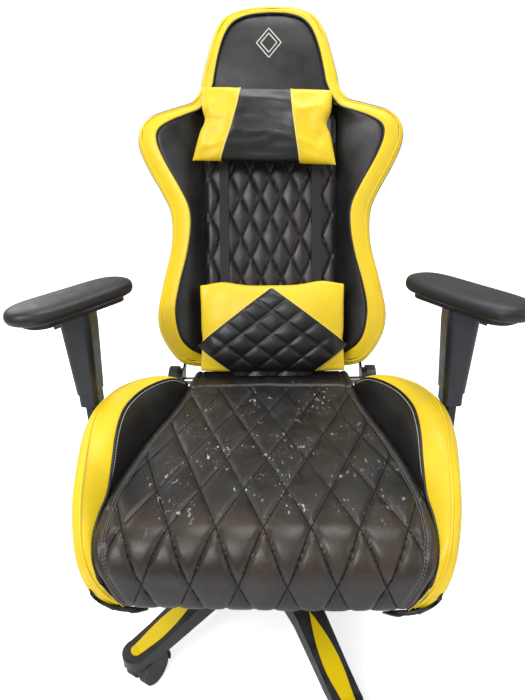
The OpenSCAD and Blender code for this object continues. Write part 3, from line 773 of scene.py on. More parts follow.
def seat_point(x, along, lift=0.0):
    """Point of the seat's skin, where along runs rearwards past the swivel axis, over the crest."""
    arc = CREST_RADIUS * math.pi / 2
    if along >= CREST_START:
        return (x, along, lift)
    if along >= CREST_START - arc:
        turn = (CREST_START - along) / CREST_RADIUS
        radius = CREST_RADIUS + lift
        return (x, CREST_START - radius * math.sin(turn), radius * math.cos(turn) - CREST_RADIUS)
    drop = CREST_START - arc - along
    tuck = 26 * smoothstep(30, 74, drop) ** 2
    return (x, CREST_START - CREST_RADIUS - lift + tuck, -CREST_RADIUS - drop)


def quilt(a, b, groove, rise):
    """Height of a quilted skin whose seams lie where a or b is a whole number."""
    from_a, from_b = abs(a - round(a)), abs(b - round(b))
    plump = (math.sin(math.pi * from_a) * math.sin(math.pi * from_b)) ** 0.55
    return rise * plump - groove * bell(min(from_a, from_b), 0.055)


def border_stations():
    """(outer, seam) points of the backrest's border, from one foot over the crown to the other."""
    mirrored = [tuple((-x, up, forward) for x, up, forward in pair) for pair in HALF_BORDER[:-1]]
    return mirrored + HALF_BORDER[::-1]


def back_point(x, up, forward):
    """A place across, up and forward of the backrest's frame, as a point of it."""
    return (x, -forward, up)


def in_opening(grown):
    """Test for a point of the backrest's frame that lies in a harness opening, grown by some mm."""
    x, up, half_width, half_height = OPENING
    return lambda point: (abs(abs(point.x) - x) < half_width + grown
                          and abs(point.z - up) < half_height + grown)


# ---- Backrest -----------------------------------------------------------------------------------

def border_row(outer, seam):
    """Section of the yellow border: up from the seam, over its fullness, round the outer edge."""
    out = Vector((outer[0] - seam[0], outer[1] - seam[1]))
    way = out.normalized()
    row = [back_point(seam[0] - way.x * 2, seam[1] - way.y * 2, seam[2] - 9)]
    full = min(0.10 * out.length + 1.5, 5.5)
    for t in (0.0, 0.05, 0.12, 0.24, 0.38, 0.52, 0.66, 0.78, 0.88, 0.95, 1.0):
        x, up, forward = blend_points(seam, outer, t)
        rise = full * arch(min(t ** 0.8 * 1.02, 1), 0.8) - 2.2 * bell(t, 0.03)
        row.append(back_point(x, up, forward + rise + puff(1, x, up, 38, 1.1) * arch(t)))
    x, up, forward = outer
    for aside, behind in ((1.8, 3), (2.4, 8)):
        row.append(back_point(x + way.x * aside, up + way.y * aside, forward - behind))
    return row


def side_row(stations, i):
    """Section of the backrest's side, from the border's edge back to the rear cover."""
    outer = stations[i][0]
    (behind, _), (ahead, _) = around(stations, i)
    tangent = Vector((ahead[0] - behind[0], ahead[1] - behind[1])).normalized()
    row = []
    for t in (0, 0.1, 0.3, 0.5, 0.7, 0.9, 1.0):
        aside = 0.6 + 1.6 * arch(t) - 1.5 * (t > 0.95)
        forward = (outer[2] - 7) + (-13 - outer[2] + 7) * t
        row.append(back_point(outer[0] - tangent.y * aside, outer[1] + tangent.x * aside, forward))
    return row


def bolster_row(side, x, up, forward):
    """Section of an inner bolster, from the quilted pad's edge out to the border's seam."""
    row = [back_point(side * (PAD_HALF - 1), up, 6)]
    for t in (0, 0.08, 0.2, 0.35, 0.5, 0.65, 0.8, 0.92, 1.0):
        depth = 13 + (forward - 13) * t
        rise = 5.5 * arch(t, 0.9) - 1.6 * bell(t, 0.05)
        here = PAD_HALF + (x - PAD_HALF) * t
        depth += rise * smoothstep(0, 25, x - PAD_HALF) + puff(2, here, up, 45, 1.2) * arch(t)
        row.append(back_point(side * here, up, depth))
    row.append(back_point(side * (x + 2), up, forward - 8))
    return row


def back_pad_rows(groove):
    """Rows and quilt coordinates of the backrest's quilted centre."""
    wide, high = PAD_CELL
    rows, seams = [], []
    count = 170
    for j in range(count + 1):
        up = PAD_LOW + (PAD_HIGH - PAD_LOW) * j / count
        half = PAD_HALF if up < PAD_FADE else min(PAD_HALF, lookup(SEAM_WIDTH, up))
        row, marks = [], []
        for i in range(107):
            x = half * (i / 53 - 1)
            a, b = x / wide + up / high, x / wide - up / high
            inside = smoothstep(0, 14, half - abs(x)) * smoothstep(PAD_HIGH, PAD_FADE, up)
            marks.append((a, b) if inside > 0.5 else (0.5, 0.5))
            edge = -5 * bell(half - abs(x), 5)
            depth = 14 + quilt(a, b, groove, 3.5) * inside + edge + puff(3, x, up, 60, 1)
            row.append(back_point(x, up, depth))
        rows.append(row)
        seams.append(marks)
    return rows, seams


def head_panel_rows():
    """Rows of the padded panel above the quilting, up to the crown."""
    rows = []
    count = 40
    for j in range(count + 1):
        up = HEAD_LOW + (HEAD_HIGH - HEAD_LOW) * j / count
        half, forward = lookup(SEAM_WIDTH, up), lookup(SEAM_FORWARD, up)
        row = []
        for i in range(25):
            t = i / 24 * 2 - 1
            crown = (1 - abs(t) ** 2.4) * (1 - abs(2 * j / count - 1) ** 4)
            depth = forward - 4 + 7 * crown + puff(4, half * t, up, 50, 1.2)
            row.append(back_point(half * t * 1.01, up, depth))
        rows.append(row)
    return rows


def rear_rows():
    """Rows of the domed rear, whose first two turn in under the foot."""
    rows = []
    heights = [40, 34, 33, *range(36, 767, 10), 781, 789, 795, 799.5]
    turned_in = (12, 6)
    for j, up in enumerate(heights):
        half = max(lookup(OUTLINE, up), 2)
        fall = smoothstep(26, 60, up) * smoothstep(803, 752, up)
        row = []
        for i in range(49):
            t = i / 48 * 2 - 1
            t = math.copysign(abs(t) ** 0.7, t)
            dome = (1 - abs(t) ** 3.2) ** (1 / 2.2)
            depth = SHELL_DEPTH * dome * fall
            forward = SHELL_FRONT - depth + puff(5, half * t, up, 70, 1.5) * dome
            row.append(back_point(half * t, up, turned_in[j] if j < 2 else forward))
        rows.append(row)
    return rows


def build_back(chair):
    """Front border, inner bolsters, quilted centre, head panel, sides and rear of the backrest."""
    stations = border_stations()
    panel("back_yellow_border", [border_row(outer, seam) for outer, seam in stations], BACK,
          Paints.yellow, "back", "yellow_leather", ("back_bolster_left", "back_bolster_right"), 0.9,
          flip=True)
    panel("back_side_panel", [side_row(stations, i) for i in range(len(stations))], BACK,
          Paints.black, "back", "black_leather", flip=True)
    seam_line = [seam for _, seam in HALF_BORDER if seam[1] < 581]
    for side, label in SIDES:
        rows = [bolster_row(side, *point) for point in seam_line]
        panel(f"back_inner_bolster_{label}", rows, BACK, Paints.black, "back", "black_leather",
              fill=0.9, flip=side < 0)
    rows, seams = back_pad_rows(chair.quilt_depth / MM)
    panel("back_quilted_pad", rows, BACK, Paints.back, "back", "black_leather", ("back_cushion",),
          thickness=6, rounds=0, seams=seams, open_at=in_opening(3))
    panel("back_head_panel", head_panel_rows(), BACK, Paints.black, "back", "black_leather",
          thickness=6)
    panel("back_rear_panel", rear_rows(), BACK, Paints.black, "back", "black_leather",
          ("back_rear_cover",), flip=True, open_at=in_opening(5))
    build_back_trim(stations, chair.piping / MM / 2)


def inset_border(stations, inset, forward):
    """The border's outer edge moved towards its seam and forward, in mm."""
    out = []
    for outer, seam in stations:
        way = Vector((seam[0] - outer[0], seam[1] - outer[1])).normalized() * inset
        out.append(back_point(outer[0] + way.x, outer[1] + way.y, outer[2] + forward))
    return out


def build_back_trim(stations, radius):
    """Piping of the backrest, and a thin dark cord beside the border's ridge that is a painted
    shadow.
    """
    crown = 700
    inner = [back_point(x, up, forward - 1.0) for _, (x, up, forward) in stations]
    ridge = inset_border(stations, 6.5, 4.4)
    # A thin dark cord just beside the ridge piping: a painted shadow.
    shadow = [(x * 0.993, y - 0.6, up + (3 if up < crown else -2.4)) for x, y, up in ridge[2:-2]]
    edge = [back_point(x + 1.2 * (1 if x > 0 else -1), up, forward - 9)
            for (x, up, forward), _ in stations]
    for name, points, thick, material, slot in (
            ("back_inner_piping", inner, radius * 0.9, Paints.black, "black_leather"),
            ("back_outer_seam", shadow, 0.7, Paints.black_thread, "yellow_leather"),
            ("back_outer_piping", ridge, radius * 0.8, Paints.yellow, "yellow_leather"),
            ("back_edge_piping", edge, radius * 0.9, Paints.black, "black_leather")):
        piping(name, points, thick, BACK, material, "back", slot)


# ---- Seat ---------------------------------------------------------------------------------------

def build_seat(chair):
    """Quilted centre of the seat, its welt and its underside."""
    rows, seams = [], []
    groove = chair.quilt_depth / MM * 0.6
    count = 190
    for j in range(count + 1):
        along = SEAT_REAR + (SEAT_FRONT - SEAT_REAR) * j / count
        half = lookup(SEAT_WIDTH, along)
        slope = 0.413 * (along + 264)
        ahead = smoothstep(SEAT_WELT + 2, SEAT_WELT - 10, along)
        row, marks = [], []
        for i in range(133):
            t = i / 66 - 1
            x = half * t
            from_edge = half - abs(x)
            a, b = (x - slope) / SEAT_CELL, (x + slope) / SEAT_CELL
            inside = smoothstep(12, 22, from_edge) * ahead
            marks.append((a, b) if inside > 0.5 else (0.5, 0.5))
            stuffed = (1 + 1.2 * bell(along + 300, 60)) * quilt(a, b, groove, 1.6)
            welt = -2.4 * bell(from_edge - 15, 2.6) - 5 * bell(from_edge, 4)
            cross = -4 * bell(along - SEAT_WELT, 4)
            crown = 4 * (1 - t * t) * smoothstep(230, 120, along)
            lift = 2 + crown + stuffed * inside + welt + cross + puff(6, x, along, 70, 1.6)
            row.append(seat_point(x, along, lift))
        rows.append(row)
        seams.append(marks)
    panel("seat_quilted_pad", rows, SEAT, Paints.seat, "seat", "black_leather", ("seat_cushion",),
          thickness=6, rounds=0, seams=seams, flip=True)
    outline = [(156, SEAT_REAR - 1), (160, 140), (172, 60), (200, -68), (217, -178), (214, -255),
               (190, -284)]
    outline += [(-x, y) for x, y in outline[::-1]]
    under = plate("seat_underside", outline, UNDERSIDE, -14, SEAT, 8)
    paint(under, Paints.black)
    finish_piece(under, "seat")


def wing_stations():
    """Smoothed rows of WING: y, then x and z of the pad's edge, seam, piping and outer edge."""
    return smooth([(y, *edge, *seam, *pipe, *outer) for y, edge, seam, pipe, outer in WING])


def wing_section(y, ex, ez, sx, sz, px, pz, ox, oz):
    """(x, y, z) rows across one wing at a station: its inner face, its top and its side."""
    inner = [(ex - 3, y, ez - 8)]
    for t in (0, 0.08, 0.22, 0.4, 0.58, 0.75, 0.9, 1.0):
        full = 0.12 * math.hypot(sx - ex, sz - ez) * arch(t, 0.9)
        inner.append((ex + (sx - ex) * t - 0.5 * full, y, ez + (sz - ez) * t + 0.8 * full))
    inner.append((sx + 2, y, sz - 6))
    top = [(sx - 1, y, sz - 7), (sx, y, sz - 0.5)]
    for t in (0.08, 0.22, 0.38, 0.55, 0.72, 0.88, 0.97):
        full = (0.10 * (px - sx) + 1) * arch(t, 0.8) + puff(7, px, y, 45, 1.2) * arch(t)
        top.append((sx + (px - sx) * t, y, sz + (pz - sz) * t + full))
    for t in (0.15, 0.35, 0.6, 0.85, 1.0):
        bow = 0.12 * math.hypot(ox - px, oz - pz) * arch(t)
        top.append((px + (ox - px) * t + bow, y, pz + (oz - pz) * t + bow))
    top.append((ox + 0.6, y, oz - 4))
    down = WING_FOOT - oz
    side = [(x, y, min(z, oz - 2)) for x, z in (
        (ox - 0.4, oz - 2), (ox, oz - 9), (ox - 3, oz + 0.28 * down), (ox - 10, oz + 0.6 * down),
        (ox - 20, oz + 0.88 * down), (ox - 30, WING_FOOT - 1), (ox - 42, WING_FOOT - 4),
        (min(ex - 4, ox - 50), WING_FOOT - 4))]
    return inner, top, side


def build_wings(chair):
    """Side wings of the seat: black inner face, yellow top and black side."""
    radius = chair.piping / MM / 2
    stations = wing_stations()
    sections = [wing_section(*station) for station in stations]
    for side, label in SIDES:
        for k, name, material, slot, replaces in (
                (0, "inner", Paints.black, "black_leather", ()),
                (1, "yellow", Paints.yellow, "yellow_leather", (f"seat_wing_{label}",)),
                (2, "side", Paints.black, "black_leather", ())):
            rows = [[(side * x, y, z) for x, y, z in section[k]] for section in sections]
            panel(f"wing_{name}_{label}", rows, SEAT, material, "seat", slot, replaces, 0.9,
                  thickness=3, flip=side > 0)
        ridge = [(side * px, y, pz + 1.0) for y, _, _, _, _, px, pz, _, _ in stations]
        seam = [(side * sx, y, sz) for y, _, _, sx, sz, _, _, _, _ in stations]
        piping(f"wing_piping_{label}", ridge, radius * 0.8, SEAT, Paints.yellow, "seat",
               "yellow_leather")
        piping(f"wing_seam_{label}", seam, radius * 0.9, SEAT, Paints.black, "seat",
               "black_leather")


# ---- Pillows and straps -------------------------------------------------------------------------

def front_depth(piece, x, up, matrix):
    """How far forward of the frame's plane a piece's front lies at a place, in mm."""
    start = matrix @ Vector((x, -260, up))
    way = (matrix @ Vector((x, 0, up)) - start).normalized()
    found, place, _, _ = piece.ray_cast(start, way)
    return -(matrix.inverted() @ place).y if found else None


def on_rim(point):
    return abs(point.y) < 0.6


WELT_RADIUS = 1.7


def sew_pillow(name, welts, lines, body):
    """Joins a pillow's welts and sews the lines of stitches beside them."""
    finish_piece(join(f"{name}_welts", welts, Paints.welt), body)
    stitches(f"{name}_stitches", lines, Paints.yellow_thread, body,
             3.2, 0.35, 4.6)


HEAD_CENTRE = (-7, -57, 527)
HEAD_TURN = 3
HEAD_HALF = 83
HEAD_COLUMNS = 48
HEAD_SEAMS = (14 / HEAD_COLUMNS, 34 / HEAD_COLUMNS)


def head_across(u, v):
    """Place across the head pillow for a column, and half its width there."""
    b = 2 * v - 1
    left, right = -56 - 40 * (1 - v) ** 2.1, 50 + 28 * (1 - v) ** 1.9
    half = 136 + (8 if b > 0 else 24) * abs(b) ** 1.4 - 9 * bell(b - 0.08, 0.2)
    low, high = HEAD_SEAMS
    if u <= low:
        x = -half + (left + half) * (u / low)
    elif u <= high:
        x = left + (right - left) * (u - low) / (high - low)
    else:
        x = right + (half - right) * (u - high) / (1 - high)
    return x, half


def narrowed(x, b):
    """Place across the head pillow, drawn in towards its upper and lower edge."""
    return x * math.sqrt(1 - 0.10 * b * b)


def head_point(u, v, facing):
    """Point of the head pillow's bag before it is inflated."""
    b = 2 * v - 1
    x, half = head_across(u, v)
    a = x / half
    up = HEAD_HALF * b * math.sqrt(1 - 0.08 * a * a) - 5 * (1 - a * a) * b
    x = narrowed(x, b)
    full = (max(1 - abs(a) ** 5, 0) * max(1 - b * b, 0)) ** 0.5
    folds = math.sin(9 * math.atan2(b - 0.08, 1.12 - abs(a)))
    folds = folds * smoothstep(0.62, 0.97, abs(a)) * full
    depth = (34 if facing > 0 else 20) * full + 3.5 * folds
    depth -= 9 * full * bell(b - 0.08, 0.17) * smoothstep(0.8, 1, abs(a))
    for place in HEAD_SEAMS:
        depth -= 2.2 * bell((u - place) * HEAD_COLUMNS, 0.8) * full
    depth += puff(8, x, up, 46, 2.2) * full
    return (x, -facing * depth, up)


def head_row(point):
    """How far up the head pillow a point of its frame lies, from 0 to 1."""
    return min(max((point.z / HEAD_HALF + 1) / 2, 0), 1)


def head_held(point):
    """How firmly the inflating holds a point of the head pillow: its rim, and less so its seams."""
    v = head_row(point)
    nearest = min(abs(point.x - head_across(place, v)[0]) for place in HEAD_SEAMS)
    return 1.0 if on_rim(point) else 0.9 * (nearest < 3)


def build_head_pillow(chair):
    """Head pillow with yellow ends, its welts and stitches."""
    turn = Matrix.Rotation(math.radians(HEAD_TURN), 4, "Y")
    matrix = BACK @ Matrix.Translation(HEAD_CENTRE) @ turn
    inverse = matrix.inverted()
    pillow = cushion("head_pillow_bag", HEAD_COLUMNS, 28, head_point, matrix)
    inflate(pillow, inverse, head_held, chair.head_fill * 9, 9)
    apply_modifier(pillow, "SMOOTH", factor=0.5, iterations=5)
    paint(pillow, Paints.yellow, Paints.black)
    for face in pillow.data.polygons:
        point = inverse @ face.center
        v = head_row(point)
        low, high = (narrowed(head_across(place, v)[0], 2 * v - 1) for place in HEAD_SEAMS)
        face.material_index = int(low < point.x < high)
    subdivide(pillow, 2)
    smooth_shade(pillow, 80)
    finish_piece(pillow, "head_rest", ("head_pillow",))
    welts, lines = [], []
    for place, aside in zip(HEAD_SEAMS, (-1, 1)):
        path, line = [], []
        for k in range(41):
            v = 0.03 + 0.94 * k / 40
            x = narrowed(head_across(place, v)[0], 2 * v - 1)
            up = 82 * (2 * v - 1) * 0.97
            for target, step, lift in ((path, 0.8, 0), (line, 6, 0.4)):
                depth = front_depth(pillow, x + aside * step, up, matrix)
                if depth is not None:
                    target.append((x + aside * step, -depth - lift, up))
        welts.append(rod("welt", path, WELT_RADIUS, matrix))
        lines.append([matrix @ Vector(point) for point in line])
    sew_pillow("head_pillow", welts, lines, "head_rest")


LUMBAR_CENTRE = (3, -58, 112)
LUMBAR_HALF = 157
DIAMOND_TOP, DIAMOND_DROP, DIAMOND_HALF = 194, 118, 155
DIAMOND_CELL = 0.4


def lumbar_point(u, v, facing):
    """Point of the lumbar pillow's bag before it is inflated."""
    a, b = 2 * u - 1, 2 * v - 1
    half = LUMBAR_HALF - 5 * (1 - b * b) - 3 * bell(b + 0.3, 0.2)
    x = half * a * math.sqrt(1 - 0.07 * b * b)
    ears = 9 * bell(abs(a) - 0.68, 0.24) * (1 if b > 0 else 0.3) * abs(b)
    up = 93 * b * math.sqrt(1 - 0.06 * a * a) + ears * math.copysign(1, b)
    full = (max(1 - abs(a) ** 5, 0) * max(1 - abs(b) ** 2.6, 0)) ** 0.5
    depth = (32 if facing > 0 else 28) * full + puff(9, x, up, 55, 2.5) * full
    depth += 1.6 * math.sin(26 * b) * smoothstep(0.8, 1, abs(a)) * full
    return (x, -facing * depth, up)


def diamond_rows(bag, lift):
    """Rows of the lumbar pillow's quilted diamond, laid on the bag's front."""
    rows = []
    for j in range(61):
        q = 0.015 + 1.515 * j / 60
        up = DIAMOND_TOP - DIAMOND_DROP * q
        half = DIAMOND_HALF * min(q, 2 - q)
        row = []
        for i in range(61):
            aside = half * (i / 30 - 1)
            p = aside / DIAMOND_HALF
            x = aside + LUMBAR_CENTRE[0]
            depth = front_depth(bag, x, up, BACK)
            if depth is None:
                depth = -LUMBAR_CENTRE[1]
            stuffed = quilt((q - p) / DIAMOND_CELL, (q + p) / DIAMOND_CELL, 2.2, 3.2)
            stuffed *= smoothstep(0, 8, half - abs(aside))
            row.append(back_point(x, up, depth + lift + stuffed))
        rows.append(row)
    return rows


def build_lumbar_pillow(chair):
    """Lumbar pillow: yellow bag with a quilted black diamond, its welts and stitches."""
    matrix = BACK @ Matrix.Translation(LUMBAR_CENTRE)
    bag = cushion("lumbar_pillow_bag", 48, 30, lumbar_point, matrix)
    inflate(bag, matrix.inverted(), on_rim, chair.lumbar_fill * 7, 7)
    apply_modifier(bag, "SMOOTH", factor=0.5, iterations=3)
    paint(bag, Paints.yellow)
    subdivide(bag, 2)
    smooth_shade(bag, 80)
    finish_piece(bag, "lumbar_rest", ("lumbar_pillow",))
    panel("lumbar_quilted_panel", diamond_rows(bag, 3.0), BACK, Paints.black, "lumbar_rest",
          "black_leather", thickness=2.5, flip=True)
    apex, corner, foot = (0.0, 0.02), (0.985, 1.0), (0.49, 1.51)
    welts, lines = [], []
    for side, _ in SIDES:
        for start, end in ((apex, corner), (corner, foot)):
            path, line = [], []
            for k in range(31):
                p, q = blend_points(start, end, k / 30)
                across = side * p * DIAMOND_HALF + LUMBAR_CENTRE[0]
                for target, step in ((path, 1), (line, 7)):
                    x = across + side * step * 0.6
                    up = DIAMOND_TOP - DIAMOND_DROP * q + (step if q <= 1 else -step) * 0.8
                    depth = front_depth(bag, x, up, BACK)
                    if depth is not None:
                        target.append(back_point(x, up, depth + 0.3))
            welts.append(rod("welt", path, WELT_RADIUS, BACK))
            lines.append([BACK @ Vector(point) for point in line])
    sew_pillow("lumbar", welts, lines, "lumbar_rest")


STRAP_WIDTH = 20
LUMBAR_STRAP_UP, HEAD_STRAP_UP = 519, 548


def strap(name, points, upright):
    """Flat band along points of the backrest's frame, lying across x, or upright across z."""
    rows = []
    for x, y, z in smooth(points):
        row = []
        for i in range(9):
            aside, bow = STRAP_WIDTH * (i / 8 - 0.5), 0.5 * arch(i / 8)
            row.append((x, y - bow, z + aside) if upright else (x + aside, y - bow, z))
        rows.append(row)
    return skin(name, rows, BACK, Paints.webbing, thickness=1.8)


def build_straps():
    """Webbing of the two pillows."""
    fronts, backs = [], []
    for side, _ in SIDES:
        x = side * OPENING[0]
        front = [(-21.5, 40), (-21, 130), (-19.5, 240), (-19.5, 360), (-20.5, 470), (-19, 505),
                 (-6, 516), (30, LUMBAR_STRAP_UP)]
        rear = [(x, 40), (x, 60), (x * 0.95, 63.5), (x * 0.5, 62), (0, 61.5)]
        fronts.append(strap("strap", [(x, y, z) for y, z in front], False))
        rear = [(across, y, LUMBAR_STRAP_UP) for across, y in rear]
        backs.append(strap("strap", rear, True))
    lumbar = join("lumbar_strap_webbing", fronts + backs, Paints.webbing)
    finish_piece(lumbar, "back", ("lumbar_straps",))
    half = [(-98, -12), (-98, 30), (-97, 62), (-80, 67.5)]
    crossing = half + [(0, 66)] + [(-x, y) for x, y in half[::-1]]
    crossing = [(x, y, HEAD_STRAP_UP) for x, y in crossing]
    head = strap("head_strap_webbing", crossing, True)
    finish_piece(head, "back", ("head_strap",))


# ---- Armrests -----------------------------------------------------------------------------------

POST = (314, 21, 205)
TOE_IN = 30


def pad_point(u, v, facing):
    """Point of an armrest's pad: its domed top and its flatter underside."""
    a, b = (math.copysign(abs(2 * t - 1) ** 0.8, 2 * t - 1) for t in (u, v))
    x = 45.5 * a * math.sqrt(1 - 0.42 * b ** 4) * (1 - 0.04 * b)
    y = -4 + 122.5 * b * math.sqrt(1 - 0.34 * a * a)
    edge = max((1 - abs(a) ** 3.2) * (1 - abs(b) ** 7), 0)
    top = 15.5 * edge ** 0.42 + 1.5 * edge * (b * b)
    return (x, y, 20 + (top if facing > 0 else -9.6 * min(edge * 3, 1) ** 0.5))


def build_arm_pads():
    """Soft tops of the armrests, each turned in about its post."""
    for side, label in SIDES:
        post = Matrix.Translation((side * POST[0], *POST[1:]))
        matrix = SEAT @ post @ Matrix.Rotation(math.radians(TOE_IN * side), 4, "Z")
        pad = cushion(f"arm_pad_{label}_top", 32, 56, pad_point, matrix)
        subdivide(pad, 1)
        smooth_shade(pad, 80)
        paint(pad, Paints.pad)
        finish_piece(pad, f"pad_{label}", (f"arm_pad_{label}",))


# ---- Stitching ----------------------------------------------------------------------------------

def beside(path, aside):
    """Path moved sideways in the x-z plane of its points."""
    out = []
    for i, point in enumerate(path):
        behind, ahead = around(path, i)
        way = (Vector(ahead) - Vector(behind)).normalized()
        out.append(tuple(Vector(point) + way.cross(Vector((0, 1, 0))).normalized() * aside))
    return out


def sew_back():
    """Stitches inside the border's seam and along its outer edge."""
    pieces = bpy.data.objects
    stations = border_stations()
    inside = beside([back_point(*seam) for _, seam in stations], 5.0)
    neck = [i for i, (_, seam) in enumerate(stations) if seam[1] > 606]
    pale = [snapped(inside[neck[0]:neck[-1]], pieces["back_head_panel"], 0.35, BACK)]
    for side, label in SIDES:
        line = [point for point in inside if 70 < point[2] < 575 and point[0] * side > 0]
        pale.append(snapped(line, pieces[f"back_inner_bolster_{label}"], 0.35, BACK))
    edge = inset_border(stations, 13, 6)[3:-3]
    gold = [snapped(edge, pieces["back_yellow_border"], 0.3, BACK)]
    stitches("pale_stitches", pale, Paints.thread, "back", 3.6, 0.65)
    stitches("border_stitches", gold, Paints.yellow_thread, "back", 3.4, 0.4)


def sew_seat():
    """Stitches of the wings and of the seat's welt."""
    pieces = bpy.data.objects
    pale, gold, welt = [], [], []
    for side, label in SIDES:
        inner, top = [], []
        for y, ex, ez, sx, sz, px, pz, _, _ in wing_stations():
            reach = math.hypot(sx - ex, sz - ez)
            if reach > 12 and y > -230:
                t = 1 - 5.5 / reach
                inner.append((side * (ex + (sx - ex) * t), y, ez + (sz - ez) * t + 2))
            if px - sx > 12:
                top.append((side * (px - 6), y, pz + 2))
        pale.append(snapped(inner, pieces[f"wing_inner_{label}"], 0.35, SEAT))
        gold.append(snapped(top, pieces[f"wing_yellow_{label}"], 0.3, SEAT))
        for inset in (12.5, 17.5):
            line = []
            for k in range(120):
                along = 130 - 520 * k / 119
                line.append(seat_point(side * (lookup(SEAT_WIDTH, along) - inset), along))
            welt.append(line)
    welt += [[seat_point(x, along) for x in range(-150, 151, 6)]
             for along in (SEAT_WELT - 3, SEAT_WELT + 3)]
    welt = [snapped(line, pieces["seat_quilted_pad"], 0.3, SEAT) for line in welt]
    stitches("wing_stitches", pale, Paints.thread, "seat", 3.6, 0.65)
    stitches("wing_top_stitches", gold, Paints.yellow_thread, "seat", 3.4, 0.4)
    stitches("seat_welt_stitches", welt, Paints.grey_thread, "seat", 3.4, 0.45)


MARK_UP = 714


def embroider_mark():
    """Plain double diamond on the head panel."""
    marks = []
    for size in (26, 17):
        tall = size * 1.25
        corners = [(0, tall), (size, 0), (0, -tall), (-size, 0), (0, tall)]
        path = [blend_points(a, b, k / 14) for a, b in zip(corners, corners[1:]) for k in range(14)]
        points = [back_point(x, MARK_UP + z, 30) for x, z in path]
        laid = snapped(points, bpy.data.objects["back_head_panel"], 0.1, BACK)
        marks.append(rod("mark", laid, 1.3 * MM, Matrix.Identity(4), closed=True, sides=2))
    finish_piece(join("head_mark", marks, Paints.thread), "back")


# ---- Stage --------------------------------------------------------------------------------------

def area_light(name, place, target, size, power):
    bpy.ops.object.light_add(type="AREA", location=place)
    lamp = bpy.context.object
    lamp.name = name
    lamp.data.shape = "DISK"
    lamp.data.size = size
    lamp.data.energy = power
    lamp.rotation_euler = (Vector(target) - Vector(place)).to_track_quat("-Z", "Y").to_euler()
    return lamp


def build_world():
    """White background for the camera, dimmer for the light that it sheds."""
    world = bpy.data.worlds.new("studio")
    bpy.context.scene.world = world
    world.use_nodes = True
    nodes, links = world.node_tree.nodes, world.node_tree.links
    seen = nodes.new("ShaderNodeMapRange")
    seen.inputs["To Min"].default_value = 0.42
    links.new(nodes.new("ShaderNodeLightPath").outputs["Is Camera Ray"], seen.inputs["Value"])
    links.new(seen.outputs["Result"], nodes["Background"].inputs["Strength"])
    nodes["Background"].inputs["Color"].default_value = (1, 1, 1, 1)
    bpy.context.scene.view_settings.view_transform = "Standard"


def build_camera():
    bpy.ops.object.camera_add()
    camera = bpy.context.object
    camera.name = "camera"
    camera.data.lens = 27.7
    camera.data.sensor_width = 36
    forward = Vector((-0.0432, 0.8933, -0.4474)).normalized()
    right = Vector((0.9990, 0.0353, -0.0261))
    right = (right - forward * right.dot(forward)).normalized()
    turn = Matrix((right, right.cross(forward), -forward)).transposed().to_4x4()
    camera.matrix_world = Matrix.Translation((0.0309, -0.7833, 0.9444)) @ turn
    bpy.context.scene.camera = camera


def build_stage():
    """Pale floor, soft light and the camera."""
    deselect()
    bpy.ops.mesh.primitive_plane_add(size=60)
    floor = added("floor")
    paint(floor, Paints.floor)
    lamps = [
        area_light("key", (-1.1, -1.7, 2.7), (0, 0, 0.6), 1.6, 62),
        area_light("fill", (2.4, -1.3, 1.6), (0, 0, 0.5), 2.2, 16),
        area_light("top", (0.3, 0.9, 3.0), (0, 0.1, 0.4), 1.8, 44),
        area_light("rim", (-1.8, 2.0, 1.8), (0, 0.2, 0.7), 1.4, 18),
    ]
    build_world()
    build_camera()


# ---- Add-on -------------------------------------------------------------------------------------

class GamingChairSettings(bpy.types.PropertyGroup):
    """Sizes and colours of the chair that a user may change."""
    yellow: bpy.props.FloatVectorProperty(
        name="Accent leather", description="Colour of the border and wings", subtype="COLOR",
        size=3, min=0, max=1, default=(0.86, 0.63, 0.012))
    black: bpy.props.FloatVectorProperty(
        name="Main leather", description="Colour of the dark leather", subtype="COLOR",
        size=3, min=0, max=1, default=(0.0085, 0.0075, 0.0078))
    piping: bpy.props.FloatProperty(
        name="Piping", description="Thickness of the piping along the seams", subtype="DISTANCE",
        unit="LENGTH", min=0.002, max=0.008, default=0.005)
    quilt_depth: bpy.props.FloatProperty(
        name="Quilt depth", description="Depth of the quilting's sewn channels", subtype="DISTANCE",
        unit="LENGTH", min=0.0005, max=0.006, default=0.003)
    head_fill: bpy.props.FloatProperty(
        name="Head pillow fill", description="How full the head pillow is", subtype="FACTOR",
        min=0, max=1, default=0.9)
    lumbar_fill: bpy.props.FloatProperty(
        name="Lumbar pillow fill", description="How full the lumbar pillow is", subtype="FACTOR",
        min=0, max=1, default=0.85)


class GAMINGCHAIR_OT_stage(bpy.types.Operator):
    """Add the floor, lights and camera"""
    bl_idname = "gamingchair.stage"
    bl_label = "Stage"

    def execute(self, context):
        make_paints()
        paint_nodes()
        build_stage()
        return {"FINISHED"}


class GAMINGCHAIR_OT_back(bpy.types.Operator):
    """Build the backrest's leather"""
    bl_idname = "gamingchair.back"
    bl_label = "Backrest"

    def execute(self, context):
        build_back(context.scene.gaming_chair)
        return {"FINISHED"}


class GAMINGCHAIR_OT_seat(bpy.types.Operator):
    """Build the seat's leather"""
    bl_idname = "gamingchair.seat"
    bl_label = "Seat"

    def execute(self, context):
        build_seat(context.scene.gaming_chair)
        build_wings(context.scene.gaming_chair)
        return {"FINISHED"}


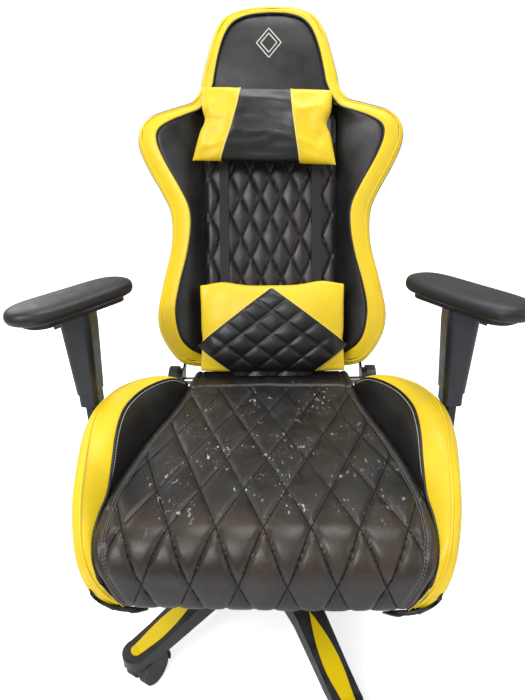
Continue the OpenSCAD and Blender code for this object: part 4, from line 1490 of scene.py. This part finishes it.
class GAMINGCHAIR_OT_pillows(bpy.types.Operator):
    """Build both pillows and their straps"""
    bl_idname = "gamingchair.pillows"
    bl_label = "Pillows"

    def execute(self, context):
        build_head_pillow(context.scene.gaming_chair)
        build_lumbar_pillow(context.scene.gaming_chair)
        build_straps()
        return {"FINISHED"}


class GAMINGCHAIR_OT_armrests(bpy.types.Operator):
    """Build the armrests' soft tops"""
    bl_idname = "gamingchair.armrests"
    bl_label = "Armrests"

    def execute(self, context):
        build_arm_pads()
        return {"FINISHED"}


class GAMINGCHAIR_OT_stitching(bpy.types.Operator):
    """Sew the contrast stitches and the head panel's mark"""
    bl_idname = "gamingchair.stitching"
    bl_label = "Stitching"

    def execute(self, context):
        sew_back()
        sew_seat()
        embroider_mark()
        return {"FINISHED"}


class GAMINGCHAIR_PT_panel(bpy.types.Panel):
    """Sizes, colours and the operators in the order they run"""
    bl_idname = "GAMINGCHAIR_PT_panel"
    bl_label = "Gaming Chair"
    bl_space_type = "VIEW_3D"
    bl_region_type = "UI"
    bl_category = "Chair"

    def draw(self, context):
        chair = context.scene.gaming_chair
        for name in ("yellow", "black", "piping", "quilt_depth", "head_fill", "lumbar_fill"):
            self.layout.prop(chair, name)
        for operator in STEPS:
            self.layout.operator(operator.bl_idname)


STEPS = (GAMINGCHAIR_OT_stage, GAMINGCHAIR_OT_back, GAMINGCHAIR_OT_seat, GAMINGCHAIR_OT_pillows,
         GAMINGCHAIR_OT_armrests, GAMINGCHAIR_OT_stitching)
CLASSES = (GamingChairSettings, *STEPS, GAMINGCHAIR_PT_panel)


def register():
    for cls in CLASSES:
        bpy.utils.register_class(cls)
    bpy.types.Scene.gaming_chair = bpy.props.PointerProperty(type=GamingChairSettings)


def unregister():
    del bpy.types.Scene.gaming_chair
    for cls in reversed(CLASSES):
        bpy.utils.unregister_class(cls)


def main():
    register()
    bpy.ops.gamingchair.stage()
    bpy.ops.gamingchair.back()
    bpy.ops.gamingchair.seat()
    bpy.ops.gamingchair.pillows()
    bpy.ops.gamingchair.armrests()
    bpy.ops.gamingchair.stitching()


if __name__ == "__main__":
    main()
